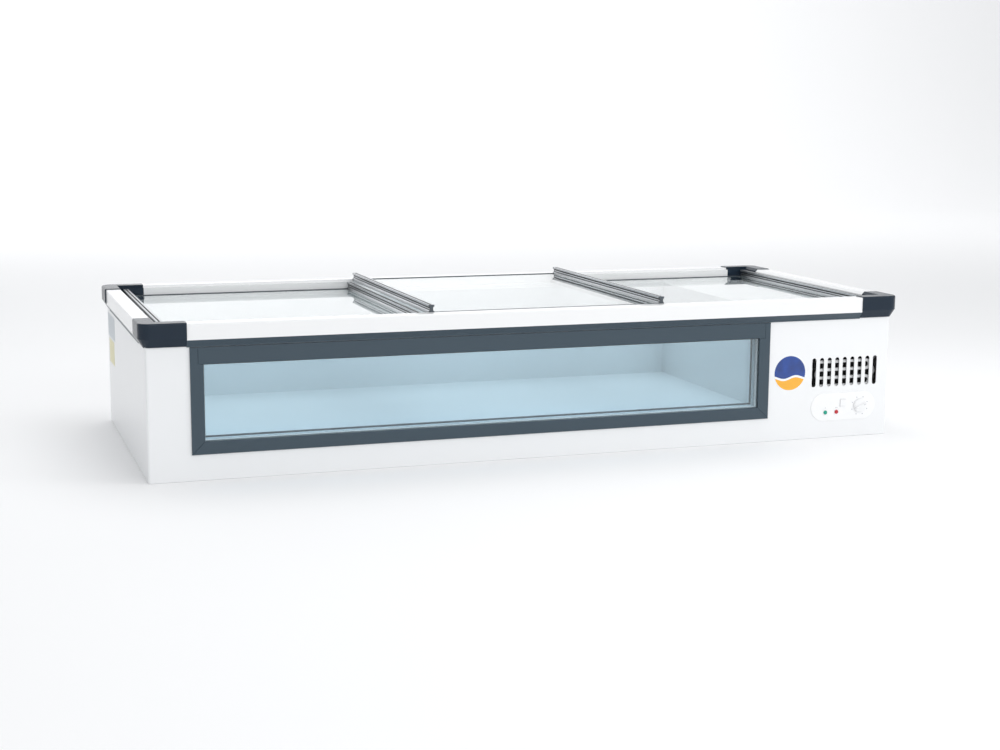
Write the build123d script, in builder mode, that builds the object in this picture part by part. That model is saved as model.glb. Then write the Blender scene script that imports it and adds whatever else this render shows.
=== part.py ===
"""Low chest freezer for a shop floor: a foamed cabinet with a long front window, a rim with
tracks for three sliding glass lids, and the cooling machinery in a compartment on the right.

Frame: origin on the floor under the middle, +X to the right, front towards -Y, +Z up, in mm.
"""
import os

from build123d import *

os.makedirs("parts", exist_ok=True)

# ---------------------------------------------------------------- driving dimensions
BODY_LENGTH = 2000.0
BODY_WIDTH = 814.0
WALL_TOP = 341.0          # upper edge of the sheet walls, under the rim
SHEET = 1.0
BEND_RADIUS = 6.0
PANEL_RETURN = 20.0       # how far the front sheet turns round onto the sides
RAIL_PROUD = 14.5         # rim rails beyond the long walls
END_RAIL_PROUD = 12.5     # rim rails beyond the short walls
RAIL_TOP = 381.0
CORNER_PROUD = 16.5
CORNER_END_PROUD = 15.5
CORNER_TOP = 383.0
CORNER_ARM = 112.0
CORNER_RADIUS = 28.0
SKIRT_BOTTOM = 323.0

LOWER_TRACK = 350.5       # height of the ledge that the outer lids slide on
UPPER_TRACK = 375.5       # height of the ledge that the middle lid slides on
TRACK_INNER = 352.0       # distance of the lower ledge's inner edge from the centre line
TRACK_STEP = 374.5        # riser between the two ledges
RAIL_INNER = 386.0        # inner edge of the rail's top
END_RAIL_INNER = 968.0
END_RAIL_BEVEL = 7.0

CAVITY_LEFT, CAVITY_RIGHT = -934.0, 668.0
CAVITY_HALF_WIDTH = 341.0
CAVITY_FLOOR = 69.0
FOAM_GAP = 2.0            # foam stays this far inside the bent sheet
PARTITION_RIGHT = 732.0
DECK_BOTTOM = 296.0       # roof of the machine compartment

WINDOW_LEFT, WINDOW_RIGHT = -865.0, 602.5       # clear sight through the window
WINDOW_BOTTOM, WINDOW_TOP = 95.0, 281.0
FRAME_SIDE = 31.5         # visible width of the window frame's sides and bottom
FRAME_HEAD = 41.0         # visible width of its top member
FRAME_PROUD = 4.5
PANE = 4.0
PANE_GAP = 12.0
PANE_COVER = 10.0         # glass hidden behind the frame

LID_GLASS = 4.0
HANDLE_WIDTH = 14.0
HANDLE_HEIGHT = 19.0
CAP = 3.0                 # thickness of the handle's end caps

FRONT = -BODY_WIDTH / 2
REAR = BODY_WIDTH / 2
LEFT = -BODY_LENGTH / 2
RIGHT = BODY_LENGTH / 2


# ---------------------------------------------------------------- helpers
def save(builder, name):
    """Label a finished piece and write its STEP file."""
    builder.part.label = name
    export_step(builder.part, f"parts/{name}.step")


def block(low, high, mode=Mode.ADD):
    """A box between its lowest and highest corners, in the part being built."""
    size = [top - bottom for bottom, top in zip(low, high)]
    with Locations(tuple(low)):
        Box(*size, align=(Align.MIN, Align.MIN, Align.MIN), mode=mode)


def rod(start, direction, radius, length, mode=Mode.ADD):
    """A round bar that starts at a point and runs along a direction."""
    with BuildSketch(Plane(origin=start, z_dir=direction)) as section:
        Circle(radius)
    extrude(section.sketch, amount=length, mode=mode)


def ring(left, right, bottom, top, width, near, far):
    """An upright rectangular ring: its outer edges, its width, and its two depths along Y."""
    block((left, near, bottom), (right, far, top))
    block((left + width, near, bottom + width), (right - width, far, top - width), Mode.SUBTRACT)


def pipe(points, bend, radius):
    """A bent tube along straight runs joined by tangent arcs."""
    with BuildPart() as tube:
        with BuildLine() as route:
            FilletPolyline(*points, radius=bend)
        start = route.line @ 0
        with BuildSketch(Plane(origin=start, z_dir=route.line % 0)):
            Circle(radius)
        sweep(path=route.line)
    return tube.part


def row_of(count, pitch):
    """Positions of count things, pitch apart, centred on zero."""
    return [(index - (count - 1) / 2) * pitch for index in range(count)]


# ---------------------------------------------------------------- vents and controls on the front
SLOT_COUNT = 9
SLOT_PITCH = 23.3
SLOT_WIDTH = 12.5
SLOT_HEIGHT = 79.0
SLOTS_X = 864.8
SLOTS_Z = 180.0

PLATE_X, PLATE_Z = 864.3, 84.3
PLATE_LENGTH, PLATE_HEIGHT, PLATE_THICK = 197.5, 75.5, 1.5
LAMP_Z = 69.8
GREEN_LAMP_X, RED_LAMP_X = 809.8, 843.7
LAMP_HEAD, LAMP_BARREL = 5.5, 4.7
KNOB_X, KNOB_Z = 915.5, 83.4
KNOB_RADIUS = 19.0
SHAFT_RADIUS = 3.0
RUNNING_GAP = 0.05
BUTTON_X, BUTTON_Z = 862.7, 94.0
BUTTON_WIDTH, BUTTON_HEIGHT = 16.4, 18.8
BUTTON_GAP = 0.4


def front_holes(plane, depth):
    """Cut the lamp, knob and button holes through a front sheet."""
    with BuildSketch(plane) as holes:
        with Locations((GREEN_LAMP_X, LAMP_Z), (RED_LAMP_X, LAMP_Z)):
            Circle(LAMP_BARREL + 0.3)
        with Locations((KNOB_X, KNOB_Z)):
            Circle(SHAFT_RADIUS + 2)
        with Locations((BUTTON_X, BUTTON_Z)):
            Rectangle(BUTTON_WIDTH + 2 * BUTTON_GAP, BUTTON_HEIGHT + 2 * BUTTON_GAP)
    extrude(holes.sketch, amount=depth, both=True, mode=Mode.SUBTRACT)


# ---------------------------------------------------------------- outer sheets
PANE_LEFT, PANE_RIGHT = WINDOW_LEFT - PANE_COVER, WINDOW_RIGHT + PANE_COVER
PANE_BOTTOM, PANE_TOP = WINDOW_BOTTOM - PANE_COVER, WINDOW_TOP + PANE_COVER
CUTOUT_GAP = 5.0

with BuildPart() as front_panel:
    with BuildSketch():
        Rectangle(BODY_LENGTH, BODY_WIDTH)
        fillet(vertices(), radius=BEND_RADIUS)
        offset(amount=-SHEET, mode=Mode.SUBTRACT)
        with Locations((0, FRONT + PANEL_RETURN / 2)):
            Rectangle(BODY_LENGTH, PANEL_RETURN, mode=Mode.INTERSECT)
    extrude(amount=WALL_TOP)
    block((PANE_LEFT - CUTOUT_GAP, FRONT - 1, PANE_BOTTOM - CUTOUT_GAP),
          (PANE_RIGHT + CUTOUT_GAP, FRONT + 2 * SHEET, PANE_TOP + CUTOUT_GAP), Mode.SUBTRACT)
    front_holes(Plane.XZ.offset(-FRONT), 2 * SHEET)
    with BuildSketch(Plane.XZ.offset(-FRONT)):
        with Locations((SLOTS_X, SLOTS_Z)):
            with GridLocations(SLOT_PITCH, 1, SLOT_COUNT, 1):
                SlotOverall(SLOT_HEIGHT, SLOT_WIDTH, rotation=90)
    extrude(amount=2 * SHEET, both=True, mode=Mode.SUBTRACT)
save(front_panel, "front_panel")

SIDE_PANEL_FRONT = FRONT + PANEL_RETURN
with BuildPart() as left_panel:
    block((LEFT, SIDE_PANEL_FRONT, 0), (LEFT + SHEET, REAR - SHEET, WALL_TOP))
save(left_panel, "left_panel")

with BuildPart() as right_panel:
    block((RIGHT - SHEET, SIDE_PANEL_FRONT, 0), (RIGHT, REAR - SHEET, WALL_TOP))
save(right_panel, "right_panel")

LOUVRE_COUNT = 14
LOUVRE_PITCH = 14.0
LOUVRE_LENGTH, LOUVRE_HEIGHT = 180.0, 5.0
LOUVRES_Z = 180.0
GLAND_X, GLAND_Z = 965.0, 40.0
GLAND_HOLE = 8.2
with BuildPart() as rear_panel:
    block((LEFT, REAR - SHEET, 0), (RIGHT, REAR, WALL_TOP))
    with BuildSketch(Plane.XZ.offset(-REAR)):
        with Locations((SLOTS_X, LOUVRES_Z)):
            with GridLocations(1, LOUVRE_PITCH, 1, LOUVRE_COUNT):
                SlotOverall(LOUVRE_LENGTH, LOUVRE_HEIGHT)
        with Locations((GLAND_X, GLAND_Z)):
            Circle(GLAND_HOLE)
    extrude(amount=2 * SHEET, both=True, mode=Mode.SUBTRACT)
save(rear_panel, "rear_panel")

with BuildPart() as base_panel:
    with BuildSketch():
        Rectangle(BODY_LENGTH - 2 * SHEET, BODY_WIDTH - 2 * SHEET)
        fillet(vertices(), radius=BEND_RADIUS)
        with Locations((SLOTS_X, 0)):
            with GridLocations(1, 24, 1, 8):
                SlotOverall(120, 8, mode=Mode.SUBTRACT)
    extrude(amount=SHEET)
save(base_panel, "base_panel")

SCREW_RADIUS, SCREW_HEAD = 4.0, 2.0
SCREW_ROW_LOW, SCREW_ROW_HIGH = 18.0, 310.0
with BuildPart() as panel_screws:
    with BuildSketch(Plane.XZ.offset(-REAR)):
        with Locations([(x, z) for x in (-985, -330, 330, 985) for z in (SCREW_ROW_LOW, SCREW_ROW_HIGH)]):
            Circle(SCREW_RADIUS)
    extrude(amount=-SCREW_HEAD)
    fillet(faces().sort_by(Axis.Y)[-8:].edges(), radius=0.8)
save(panel_screws, "panel_screws")

# ---------------------------------------------------------------- liner and insulation
LINER_LEFT, LINER_RIGHT = CAVITY_LEFT - SHEET, CAVITY_RIGHT + SHEET
LINER_HALF = CAVITY_HALF_WIDTH + SHEET
LINER_BOTTOM = CAVITY_FLOOR - SHEET
REVEAL_WALL = 13.5        # plastic lining of the window opening, between glass and liner
REVEAL_LEFT, REVEAL_RIGHT = PANE_LEFT - CUTOUT_GAP - 0.5, PANE_RIGHT + CUTOUT_GAP + 0.5
REVEAL_BOTTOM, REVEAL_TOP = PANE_BOTTOM - CUTOUT_GAP - 0.5, PANE_TOP + CUTOUT_GAP + 0.5

with BuildPart() as inner_liner:
    block((LINER_LEFT, -LINER_HALF, LINER_BOTTOM), (LINER_RIGHT, LINER_HALF, WALL_TOP))
    block((-END_RAIL_INNER, -TRACK_INNER, WALL_TOP), (END_RAIL_INNER, TRACK_INNER, WALL_TOP + SHEET))
    block((CAVITY_LEFT, -CAVITY_HALF_WIDTH, CAVITY_FLOOR),
          (CAVITY_RIGHT, CAVITY_HALF_WIDTH, WALL_TOP + 2 * SHEET), Mode.SUBTRACT)
    block((REVEAL_LEFT + REVEAL_WALL, -LINER_HALF - 1, REVEAL_BOTTOM + REVEAL_WALL),
          (REVEAL_RIGHT - REVEAL_WALL, -CAVITY_HALF_WIDTH + 1, REVEAL_TOP - REVEAL_WALL), Mode.SUBTRACT)
save(inner_liner, "inner_liner")

FOAM_LEFT = LEFT + SHEET + FOAM_GAP
FOAM_RIGHT = RIGHT - SHEET - FOAM_GAP
FOAM_HALF = REAR - SHEET - FOAM_GAP

with BuildPart() as insulation_floor:
    block((FOAM_LEFT, -FOAM_HALF, SHEET), (PARTITION_RIGHT, FOAM_HALF, LINER_BOTTOM))
save(insulation_floor, "insulation_floor")

EVAPORATOR_ROWS = 8
EVAPORATOR_PITCH = 26.0
EVAPORATOR_LOW = 90.0
EVAPORATOR_HIGH = EVAPORATOR_LOW + (EVAPORATOR_ROWS - 1) * EVAPORATOR_PITCH
EVAPORATOR_LEFT, EVAPORATOR_RIGHT = -870.0, 590.0
EVAPORATOR_TUBE = 4.0
POCKET = 9.0              # depth of the groove for the evaporator behind the liner
EVAPORATOR_Y = LINER_HALF + POCKET / 2
TUBE_MARGIN = 6.0

with BuildPart() as insulation_rear:
    block((FOAM_LEFT, LINER_HALF, LINER_BOTTOM), (PARTITION_RIGHT, FOAM_HALF, WALL_TOP))
    block((EVAPORATOR_LEFT - TUBE_MARGIN, LINER_HALF, EVAPORATOR_LOW - TUBE_MARGIN),
          (EVAPORATOR_RIGHT + TUBE_MARGIN, LINER_HALF + POCKET, EVAPORATOR_HIGH + TUBE_MARGIN), Mode.SUBTRACT)
    for tube_z in (EVAPORATOR_LOW, EVAPORATOR_HIGH):
        block((EVAPORATOR_RIGHT, LINER_HALF, tube_z - TUBE_MARGIN),
              (PARTITION_RIGHT, LINER_HALF + POCKET, tube_z + TUBE_MARGIN), Mode.SUBTRACT)
save(insulation_rear, "insulation_rear")

with BuildPart() as insulation_ends:
    block((FOAM_LEFT, -LINER_HALF, LINER_BOTTOM), (LINER_LEFT, LINER_HALF, WALL_TOP))
    block((LINER_RIGHT, -LINER_HALF, LINER_BOTTOM), (PARTITION_RIGHT, LINER_HALF, WALL_TOP))
save(insulation_ends, "insulation_ends")

with BuildPart() as insulation_deck:
    block((PARTITION_RIGHT, -FOAM_HALF, DECK_BOTTOM), (FOAM_RIGHT, FOAM_HALF, WALL_TOP))
save(insulation_deck, "insulation_deck")

with BuildPart() as insulation_front:
    block((FOAM_LEFT, -FOAM_HALF, LINER_BOTTOM), (PARTITION_RIGHT, -LINER_HALF, WALL_TOP))
    block((REVEAL_LEFT, -FOAM_HALF - 1, REVEAL_BOTTOM), (REVEAL_RIGHT, -LINER_HALF + 1, REVEAL_TOP),
          Mode.SUBTRACT)
save(insulation_front, "insulation_front")

# ---------------------------------------------------------------- rim
RAIL_OUTER = REAR + RAIL_PROUD
END_RAIL_OUTER = RIGHT + END_RAIL_PROUD
CORNER_OUTER = REAR + CORNER_PROUD
CORNER_END_OUTER = RIGHT + CORNER_END_PROUD
RAIL_HALF_LENGTH = CORNER_END_OUTER - CORNER_ARM
END_RAIL_HALF_LENGTH = CORNER_OUTER - CORNER_ARM
RAIL_EDGE = 3.0           # rounding of the rails' outer top edge

LONG_RAIL = [(RAIL_OUTER, WALL_TOP), (RAIL_OUTER, RAIL_TOP), (RAIL_INNER, RAIL_TOP), (RAIL_INNER, UPPER_TRACK),
             (TRACK_STEP, UPPER_TRACK), (TRACK_STEP, LOWER_TRACK), (TRACK_INNER, LOWER_TRACK),
             (TRACK_INNER, WALL_TOP)]
END_RAIL = [(END_RAIL_OUTER, WALL_TOP), (END_RAIL_OUTER, RAIL_TOP), (END_RAIL_INNER + END_RAIL_BEVEL, RAIL_TOP),
            (END_RAIL_INNER, RAIL_TOP - END_RAIL_BEVEL), (END_RAIL_INNER, WALL_TOP)]


def skirt_section(outer, wall):
    """The dark strip below a rail: a slanted face that ends in a small lip against the wall."""
    lip = wall + 3.5
    return [(outer, WALL_TOP), (lip, SKIRT_BOTTOM + 3.5), (lip, SKIRT_BOTTOM), (wall + 0.2, SKIRT_BOTTOM),
            (wall + 0.2, WALL_TOP)]


with BuildPart() as rear_rail:
    with BuildSketch(Plane.YZ):
        Polygon(*LONG_RAIL, align=None)
    extrude(amount=RAIL_HALF_LENGTH, both=True)
    fillet(edges().filter_by(Axis.X).group_by(Axis.Z)[-1].sort_by(Axis.Y)[-1], radius=RAIL_EDGE)
save(rear_rail, "rear_rail")

with BuildPart() as front_rail:
    mirror(rear_rail.part, about=Plane.XZ)
save(front_rail, "front_rail")

with BuildPart() as right_rail:
    with BuildSketch(Plane.XZ):
        Polygon(*END_RAIL, align=None)
    extrude(amount=END_RAIL_HALF_LENGTH, both=True)
    fillet(edges().filter_by(Axis.Y).group_by(Axis.Z)[-1].sort_by(Axis.X)[-1], radius=RAIL_EDGE)
save(right_rail, "right_rail")

with BuildPart() as left_rail:
    mirror(right_rail.part, about=Plane.YZ)
save(left_rail, "left_rail")

with BuildPart() as rim_skirts:
    with BuildSketch(Plane.YZ):
        Polygon(*skirt_section(RAIL_OUTER, REAR), align=None)
    extrude(amount=RAIL_HALF_LENGTH, both=True)
    with BuildSketch(Plane.XZ):
        Polygon(*skirt_section(END_RAIL_OUTER, RIGHT), align=None)
    extrude(amount=END_RAIL_HALF_LENGTH, both=True)
    mirror(about=Plane.XZ)
    mirror(about=Plane.YZ)
save(rim_skirts, "rim_skirts")

CORNER_BOTTOM = 325.0
CORNER_CHAMFER_WIDTH, CORNER_CHAMFER_HEIGHT = 12.5, 21.0
CORNER_EDGE = 4.0
CORNER_CLEAR = 0.2
ARM_X, ARM_Y = CORNER_END_OUTER - CORNER_ARM, CORNER_OUTER - CORNER_ARM

with BuildPart() as corner_rear_right:
    with BuildSketch(Plane.XY.offset(CORNER_BOTTOM)):
        with Locations((ARM_X, ARM_Y)):
            Rectangle(CORNER_ARM, CORNER_ARM, align=(Align.MIN, Align.MIN))
        fillet(vertices().sort_by_distance((CORNER_END_OUTER, CORNER_OUTER))[0], radius=CORNER_RADIUS)
        with Locations((ARM_X, ARM_Y)):
            Rectangle(END_RAIL_INNER - ARM_X, TRACK_INNER - ARM_Y, align=(Align.MIN, Align.MIN),
                      mode=Mode.SUBTRACT)
    extrude(amount=CORNER_TOP - CORNER_BOTTOM)
    chamfer(faces().sort_by(Axis.Z)[0].edges().filter_by(
        lambda edge: edge.center().X > END_RAIL_INNER and edge.center().Y > ARM_Y + 1
        and edge.center().X + edge.center().Y > END_RAIL_INNER + CORNER_OUTER - CORNER_ARM / 2
        or edge.center().Y > CORNER_OUTER - 1),
        length=CORNER_CHAMFER_HEIGHT, length2=CORNER_CHAMFER_WIDTH)
    fillet(faces().sort_by(Axis.Z)[-1].edges().filter_by(
        lambda edge: edge.center().Y > CORNER_OUTER - CORNER_RADIUS or edge.center().X > CORNER_END_OUTER - 1),
        radius=CORNER_EDGE)
    block((0, 0, 0), (RIGHT + CORNER_CLEAR, REAR + CORNER_CLEAR, WALL_TOP), Mode.SUBTRACT)
    block((0, 0, LOWER_TRACK), (END_RAIL_INNER, TRACK_STEP, CORNER_TOP), Mode.SUBTRACT)
    block((0, 0, UPPER_TRACK), (END_RAIL_INNER, RAIL_INNER, CORNER_TOP), Mode.SUBTRACT)
    with BuildSketch(Plane.XZ):
        Polygon((END_RAIL_INNER, CORNER_TOP - END_RAIL_BEVEL), (END_RAIL_INNER, CORNER_TOP),
                (END_RAIL_INNER + END_RAIL_BEVEL, CORNER_TOP), align=None)
    extrude(amount=RAIL_INNER, both=True, mode=Mode.SUBTRACT)
save(corner_rear_right, "corner_rear_right")

with BuildPart() as corner_rear_left:
    mirror(corner_rear_right.part, about=Plane.YZ)
save(corner_rear_left, "corner_rear_left")

with BuildPart() as corner_front_right:
    mirror(corner_rear_right.part, about=Plane.XZ)
save(corner_front_right, "corner_front_right")

with BuildPart() as corner_front_left:
    mirror(corner_rear_left.part, about=Plane.XZ)
save(corner_front_left, "corner_front_left")

# ---------------------------------------------------------------- front window
FRAME_LEFT, FRAME_RIGHT = WINDOW_LEFT - FRAME_SIDE, WINDOW_RIGHT + FRAME_SIDE
FRAME_BOTTOM, FRAME_TOP = WINDOW_BOTTOM - FRAME_SIDE, WINDOW_TOP + FRAME_HEAD
FRAME_FACE = FRONT - FRAME_PROUD
HEAD_JOINT_LEFT, HEAD_JOINT_RIGHT = -877.5, 618.5        # upright joints of the head member
PANE_FRONT = FRONT + SHEET
UNIT_BACK = PANE_FRONT + 3 * PANE + 2 * PANE_GAP
LEG_THICK = 2.0
LEG_OUT = 4.5             # outer face of the frame's leg from the pane's edge
LEG_BACK = UNIT_BACK - 3.0
FRAME_EDGE = 1.2


def frame_member(outline, leg_low, leg_high):
    """One window frame member: a flat face on the sheet and a leg that holds the glass unit."""
    with BuildPart() as member:
        with BuildSketch(Plane.XZ.offset(-FRONT)):
            Polygon(*outline, align=None)
        extrude(amount=FRAME_PROUD)
        fillet(faces().sort_by(Axis.Y)[0].edges(), radius=FRAME_EDGE)
        block(leg_low, leg_high)
    return member


SILL_LEG = PANE_BOTTOM - LEG_OUT
HEAD_LEG = PANE_TOP + LEG_OUT
JAMB_LEG_LEFT, JAMB_LEG_RIGHT = PANE_LEFT - LEG_OUT, PANE_RIGHT + LEG_OUT

window_frame_bottom = frame_member(
    [(FRAME_LEFT, FRAME_BOTTOM), (FRAME_RIGHT, FRAME_BOTTOM), (WINDOW_RIGHT, WINDOW_BOTTOM),
     (WINDOW_LEFT, WINDOW_BOTTOM)],
    (JAMB_LEG_LEFT, FRONT, SILL_LEG), (JAMB_LEG_RIGHT, LEG_BACK, SILL_LEG + LEG_THICK))
save(window_frame_bottom, "window_frame_bottom")

window_frame_left = frame_member(
    [(FRAME_LEFT, FRAME_BOTTOM), (WINDOW_LEFT, WINDOW_BOTTOM), (WINDOW_LEFT, WINDOW_TOP),
     (HEAD_JOINT_LEFT, WINDOW_TOP), (HEAD_JOINT_LEFT, FRAME_TOP), (FRAME_LEFT, FRAME_TOP)],
    (JAMB_LEG_LEFT, FRONT, SILL_LEG + LEG_THICK), (JAMB_LEG_LEFT + LEG_THICK, LEG_BACK, HEAD_LEG))
save(window_frame_left, "window_frame_left")

window_frame_right = frame_member(
    [(FRAME_RIGHT, FRAME_BOTTOM), (FRAME_RIGHT, FRAME_TOP), (HEAD_JOINT_RIGHT, FRAME_TOP),
     (HEAD_JOINT_RIGHT, WINDOW_TOP), (WINDOW_RIGHT, WINDOW_TOP), (WINDOW_RIGHT, WINDOW_BOTTOM)],
    (JAMB_LEG_RIGHT - LEG_THICK, FRONT, SILL_LEG + LEG_THICK), (JAMB_LEG_RIGHT, LEG_BACK, HEAD_LEG))
save(window_frame_right, "window_frame_right")

window_frame_top = frame_member(
    [(HEAD_JOINT_LEFT, WINDOW_TOP), (HEAD_JOINT_RIGHT, WINDOW_TOP), (HEAD_JOINT_RIGHT, FRAME_TOP),
     (HEAD_JOINT_LEFT, FRAME_TOP)],
    (JAMB_LEG_LEFT + LEG_THICK, FRONT, HEAD_LEG - LEG_THICK), (JAMB_LEG_RIGHT - LEG_THICK, LEG_BACK, HEAD_LEG))
save(window_frame_top, "window_frame_top")

PANE_PITCH = PANE + PANE_GAP
for index, name in enumerate(("window_pane_outer", "window_pane_middle", "window_pane_inner")):
    pane_y = PANE_FRONT + index * PANE_PITCH
    with BuildPart() as pane:
        block((PANE_LEFT, pane_y, PANE_BOTTOM), (PANE_RIGHT, pane_y + PANE, PANE_TOP))
    save(pane, name)

SEALANT_WIDTH = 5.0       # rubber between the glass edge and the metal spacer
SPACER_WIDTH = 7.0
LIP_BACK = 0.5            # how far the rubber stays behind the frame's edge
EDGE_BAND = LEG_OUT - LEG_THICK

with BuildPart() as window_spacers:
    for index in range(2):
        near = PANE_FRONT + PANE + index * PANE_PITCH
        ring(PANE_LEFT + SEALANT_WIDTH, PANE_RIGHT - SEALANT_WIDTH, PANE_BOTTOM + SEALANT_WIDTH,
             PANE_TOP - SEALANT_WIDTH, SPACER_WIDTH, near, near + PANE_GAP)
save(window_spacers, "window_spacers")

with BuildPart() as window_seals:
    ring(PANE_LEFT - EDGE_BAND, PANE_RIGHT + EDGE_BAND, PANE_BOTTOM - EDGE_BAND, PANE_TOP + EDGE_BAND,
         EDGE_BAND, PANE_FRONT, LEG_BACK)
    ring(PANE_LEFT - EDGE_BAND, PANE_RIGHT + EDGE_BAND, PANE_BOTTOM - EDGE_BAND, PANE_TOP + EDGE_BAND,
         EDGE_BAND + PANE_COVER - LIP_BACK, FRONT, PANE_FRONT)
    for index in range(2):
        near = PANE_FRONT + PANE + index * PANE_PITCH
        ring(PANE_LEFT, PANE_RIGHT, PANE_BOTTOM, PANE_TOP, SEALANT_WIDTH, near, near + PANE_GAP)
save(window_seals, "window_seals")

with BuildPart() as window_reveal:
    ring(REVEAL_LEFT, REVEAL_RIGHT, REVEAL_BOTTOM, REVEAL_TOP, REVEAL_WALL, UNIT_BACK, -LINER_HALF)
save(window_reveal, "window_reveal")

# ---------------------------------------------------------------- controls
PLATE_FACE = FRONT - PLATE_THICK

with BuildPart() as control_plate:
    with BuildSketch(Plane.XZ.offset(-FRONT)):
        with Locations((PLATE_X, PLATE_Z)):
            SlotOverall(PLATE_LENGTH, PLATE_HEIGHT)
    extrude(amount=PLATE_THICK)
    fillet(faces().sort_by(Axis.Y)[0].edges(), radius=1.0)
    front_holes(Plane.XZ.offset(-PLATE_FACE), 2 * PLATE_THICK)
save(control_plate, "control_plate")

LAMP_HEAD_DEPTH = 3.0
LAMP_DEPTH = 20.0
for lamp_x, name in ((GREEN_LAMP_X, "green_lamp"), (RED_LAMP_X, "red_lamp")):
    with BuildPart() as lamp:
        rod((lamp_x, PLATE_FACE, LAMP_Z), (0, -1, 0), LAMP_HEAD, LAMP_HEAD_DEPTH)
        fillet(faces().sort_by(Axis.Y)[0].edges(), radius=2.0)
        rod((lamp_x, PLATE_FACE, LAMP_Z), (0, 1, 0), LAMP_BARREL, LAMP_DEPTH)
    save(lamp, name)

BUTTON_FACE = PLATE_FACE - 3.0
BUTTON_BACK = FRONT + 9.0
BUTTON_TRAVEL = 2.5
with BuildPart() as fast_freeze_button:
    block((BUTTON_X - BUTTON_WIDTH / 2, BUTTON_FACE, BUTTON_Z - BUTTON_HEIGHT / 2),
          (BUTTON_X + BUTTON_WIDTH / 2, BUTTON_BACK, BUTTON_Z + BUTTON_HEIGHT / 2))
    fillet(edges().filter_by(Axis.Y), radius=2.0)
    fillet(faces().sort_by(Axis.Y)[0].edges(), radius=0.8)
save(fast_freeze_button, "fast_freeze_button")

SWITCH_FRONT = BUTTON_BACK + BUTTON_TRAVEL + 0.5
with BuildPart() as button_switch:
    block((BUTTON_X - 12, SWITCH_FRONT, BUTTON_Z - 12), (BUTTON_X + 12, SWITCH_FRONT + 22, BUTTON_Z + 12))
    for pin_z in row_of(3, 7.0):
        block((BUTTON_X - 3, SWITCH_FRONT + 22, BUTTON_Z + pin_z - 0.4),
              (BUTTON_X + 3, SWITCH_FRONT + 30, BUTTON_Z + pin_z + 0.4))
save(button_switch, "button_switch")

SHAFT_TIP = PLATE_FACE - 8.0
THERMOSTAT_HALF = 20.5
with BuildPart() as thermostat_body:
    block((KNOB_X - THERMOSTAT_HALF, FRONT + 4, KNOB_Z - THERMOSTAT_HALF),
          (KNOB_X + THERMOSTAT_HALF, FRONT + 32, KNOB_Z + THERMOSTAT_HALF))
    fillet(edges().filter_by(Axis.Y), radius=3.0)
    rod((KNOB_X, FRONT + 4, KNOB_Z), (0, -1, 0), SHAFT_RADIUS, FRONT + 4 - SHAFT_TIP)
save(thermostat_body, "thermostat_body")

KNOB_BACK = PLATE_FACE - 0.5
KNOB_SKIRT = 3.0
KNOB_CROWN = 8.0
KNOB_BAR_WIDTH = 7.5
KNOB_TILT = 22.0          # lean of the grip bar from the horizontal
with BuildPart() as thermostat_knob:
    rod((KNOB_X, KNOB_BACK, KNOB_Z), (0, -1, 0), KNOB_RADIUS, KNOB_SKIRT)
    fillet(faces().sort_by(Axis.Y)[0].edges(), radius=1.0)
    grip_plane = Plane(origin=(KNOB_X, KNOB_BACK - KNOB_SKIRT, KNOB_Z), x_dir=(1, 0, 0), z_dir=(0, -1, 0))
    with BuildSketch(grip_plane):
        SlotOverall(2 * KNOB_RADIUS - 3, KNOB_BAR_WIDTH, rotation=KNOB_TILT)
    extrude(amount=KNOB_CROWN)
    fillet(faces().sort_by(Axis.Y)[0].edges(), radius=1.5)
    rod((KNOB_X, KNOB_BACK + 1, KNOB_Z), (0, -1, 0), SHAFT_RADIUS + RUNNING_GAP,
        KNOB_BACK + 1 - SHAFT_TIP + 0.5, Mode.SUBTRACT)
save(thermostat_knob, "thermostat_knob")

LABEL_THICK = 0.4
LABEL_X, LABEL_Z, LABEL_RADIUS = 698.0, 183.0, 48.0
with BuildPart() as round_label:
    rod((LABEL_X, FRONT, LABEL_Z), (0, -1, 0), LABEL_RADIUS, LABEL_THICK)
save(round_label, "round_label")

# ---------------------------------------------------------------- machinery
CAN_X, CAN_Y = 866.0, 130.0
CAN_RADIUS, CAN_BOTTOM, CAN_TOP = 75.0, 27.0, 197.0
FOOT_X, FOOT_Y = 75.0, 62.0
FOOT_PLATE = 3.0
with BuildPart() as compressor:
    with BuildSketch(Plane.XY.offset(CAN_BOTTOM)):
        with Locations((CAN_X, CAN_Y)):
            Circle(CAN_RADIUS)
    extrude(amount=CAN_TOP - CAN_BOTTOM)
    fillet(faces().sort_by(Axis.Z)[-1].edges(), radius=22)
    fillet(faces().sort_by(Axis.Z)[0].edges(), radius=16)
    with BuildSketch(Plane.XY.offset(112)):
        with Locations((CAN_X, CAN_Y)):
            Circle(CAN_RADIUS + 2)
    extrude(amount=5)
    with BuildSketch(Plane.XY.offset(CAN_BOTTOM - FOOT_PLATE)):
        with Locations((CAN_X, CAN_Y)):
            RectangleRounded(2 * FOOT_X + 28, 2 * FOOT_Y + 28, 12)
            with GridLocations(2 * FOOT_X, 2 * FOOT_Y, 2, 2):
                Circle(5, mode=Mode.SUBTRACT)
    extrude(amount=FOOT_PLATE)
save(compressor, "compressor")

with BuildPart() as compressor_mounts:
    with BuildSketch(Plane.XY.offset(SHEET)):
        with Locations((CAN_X, CAN_Y)):
            with GridLocations(2 * FOOT_X, 2 * FOOT_Y, 2, 2):
                Circle(12)
    extrude(amount=CAN_BOTTOM - FOOT_PLATE - SHEET)
    with BuildSketch(Plane.XY.offset(SHEET)):
        with Locations((CAN_X, CAN_Y)):
            with GridLocations(2 * FOOT_X, 2 * FOOT_Y, 2, 2):
                Circle(4.8)
    extrude(amount=CAN_BOTTOM + 6 - SHEET)
save(compressor_mounts, "compressor_mounts")

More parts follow.
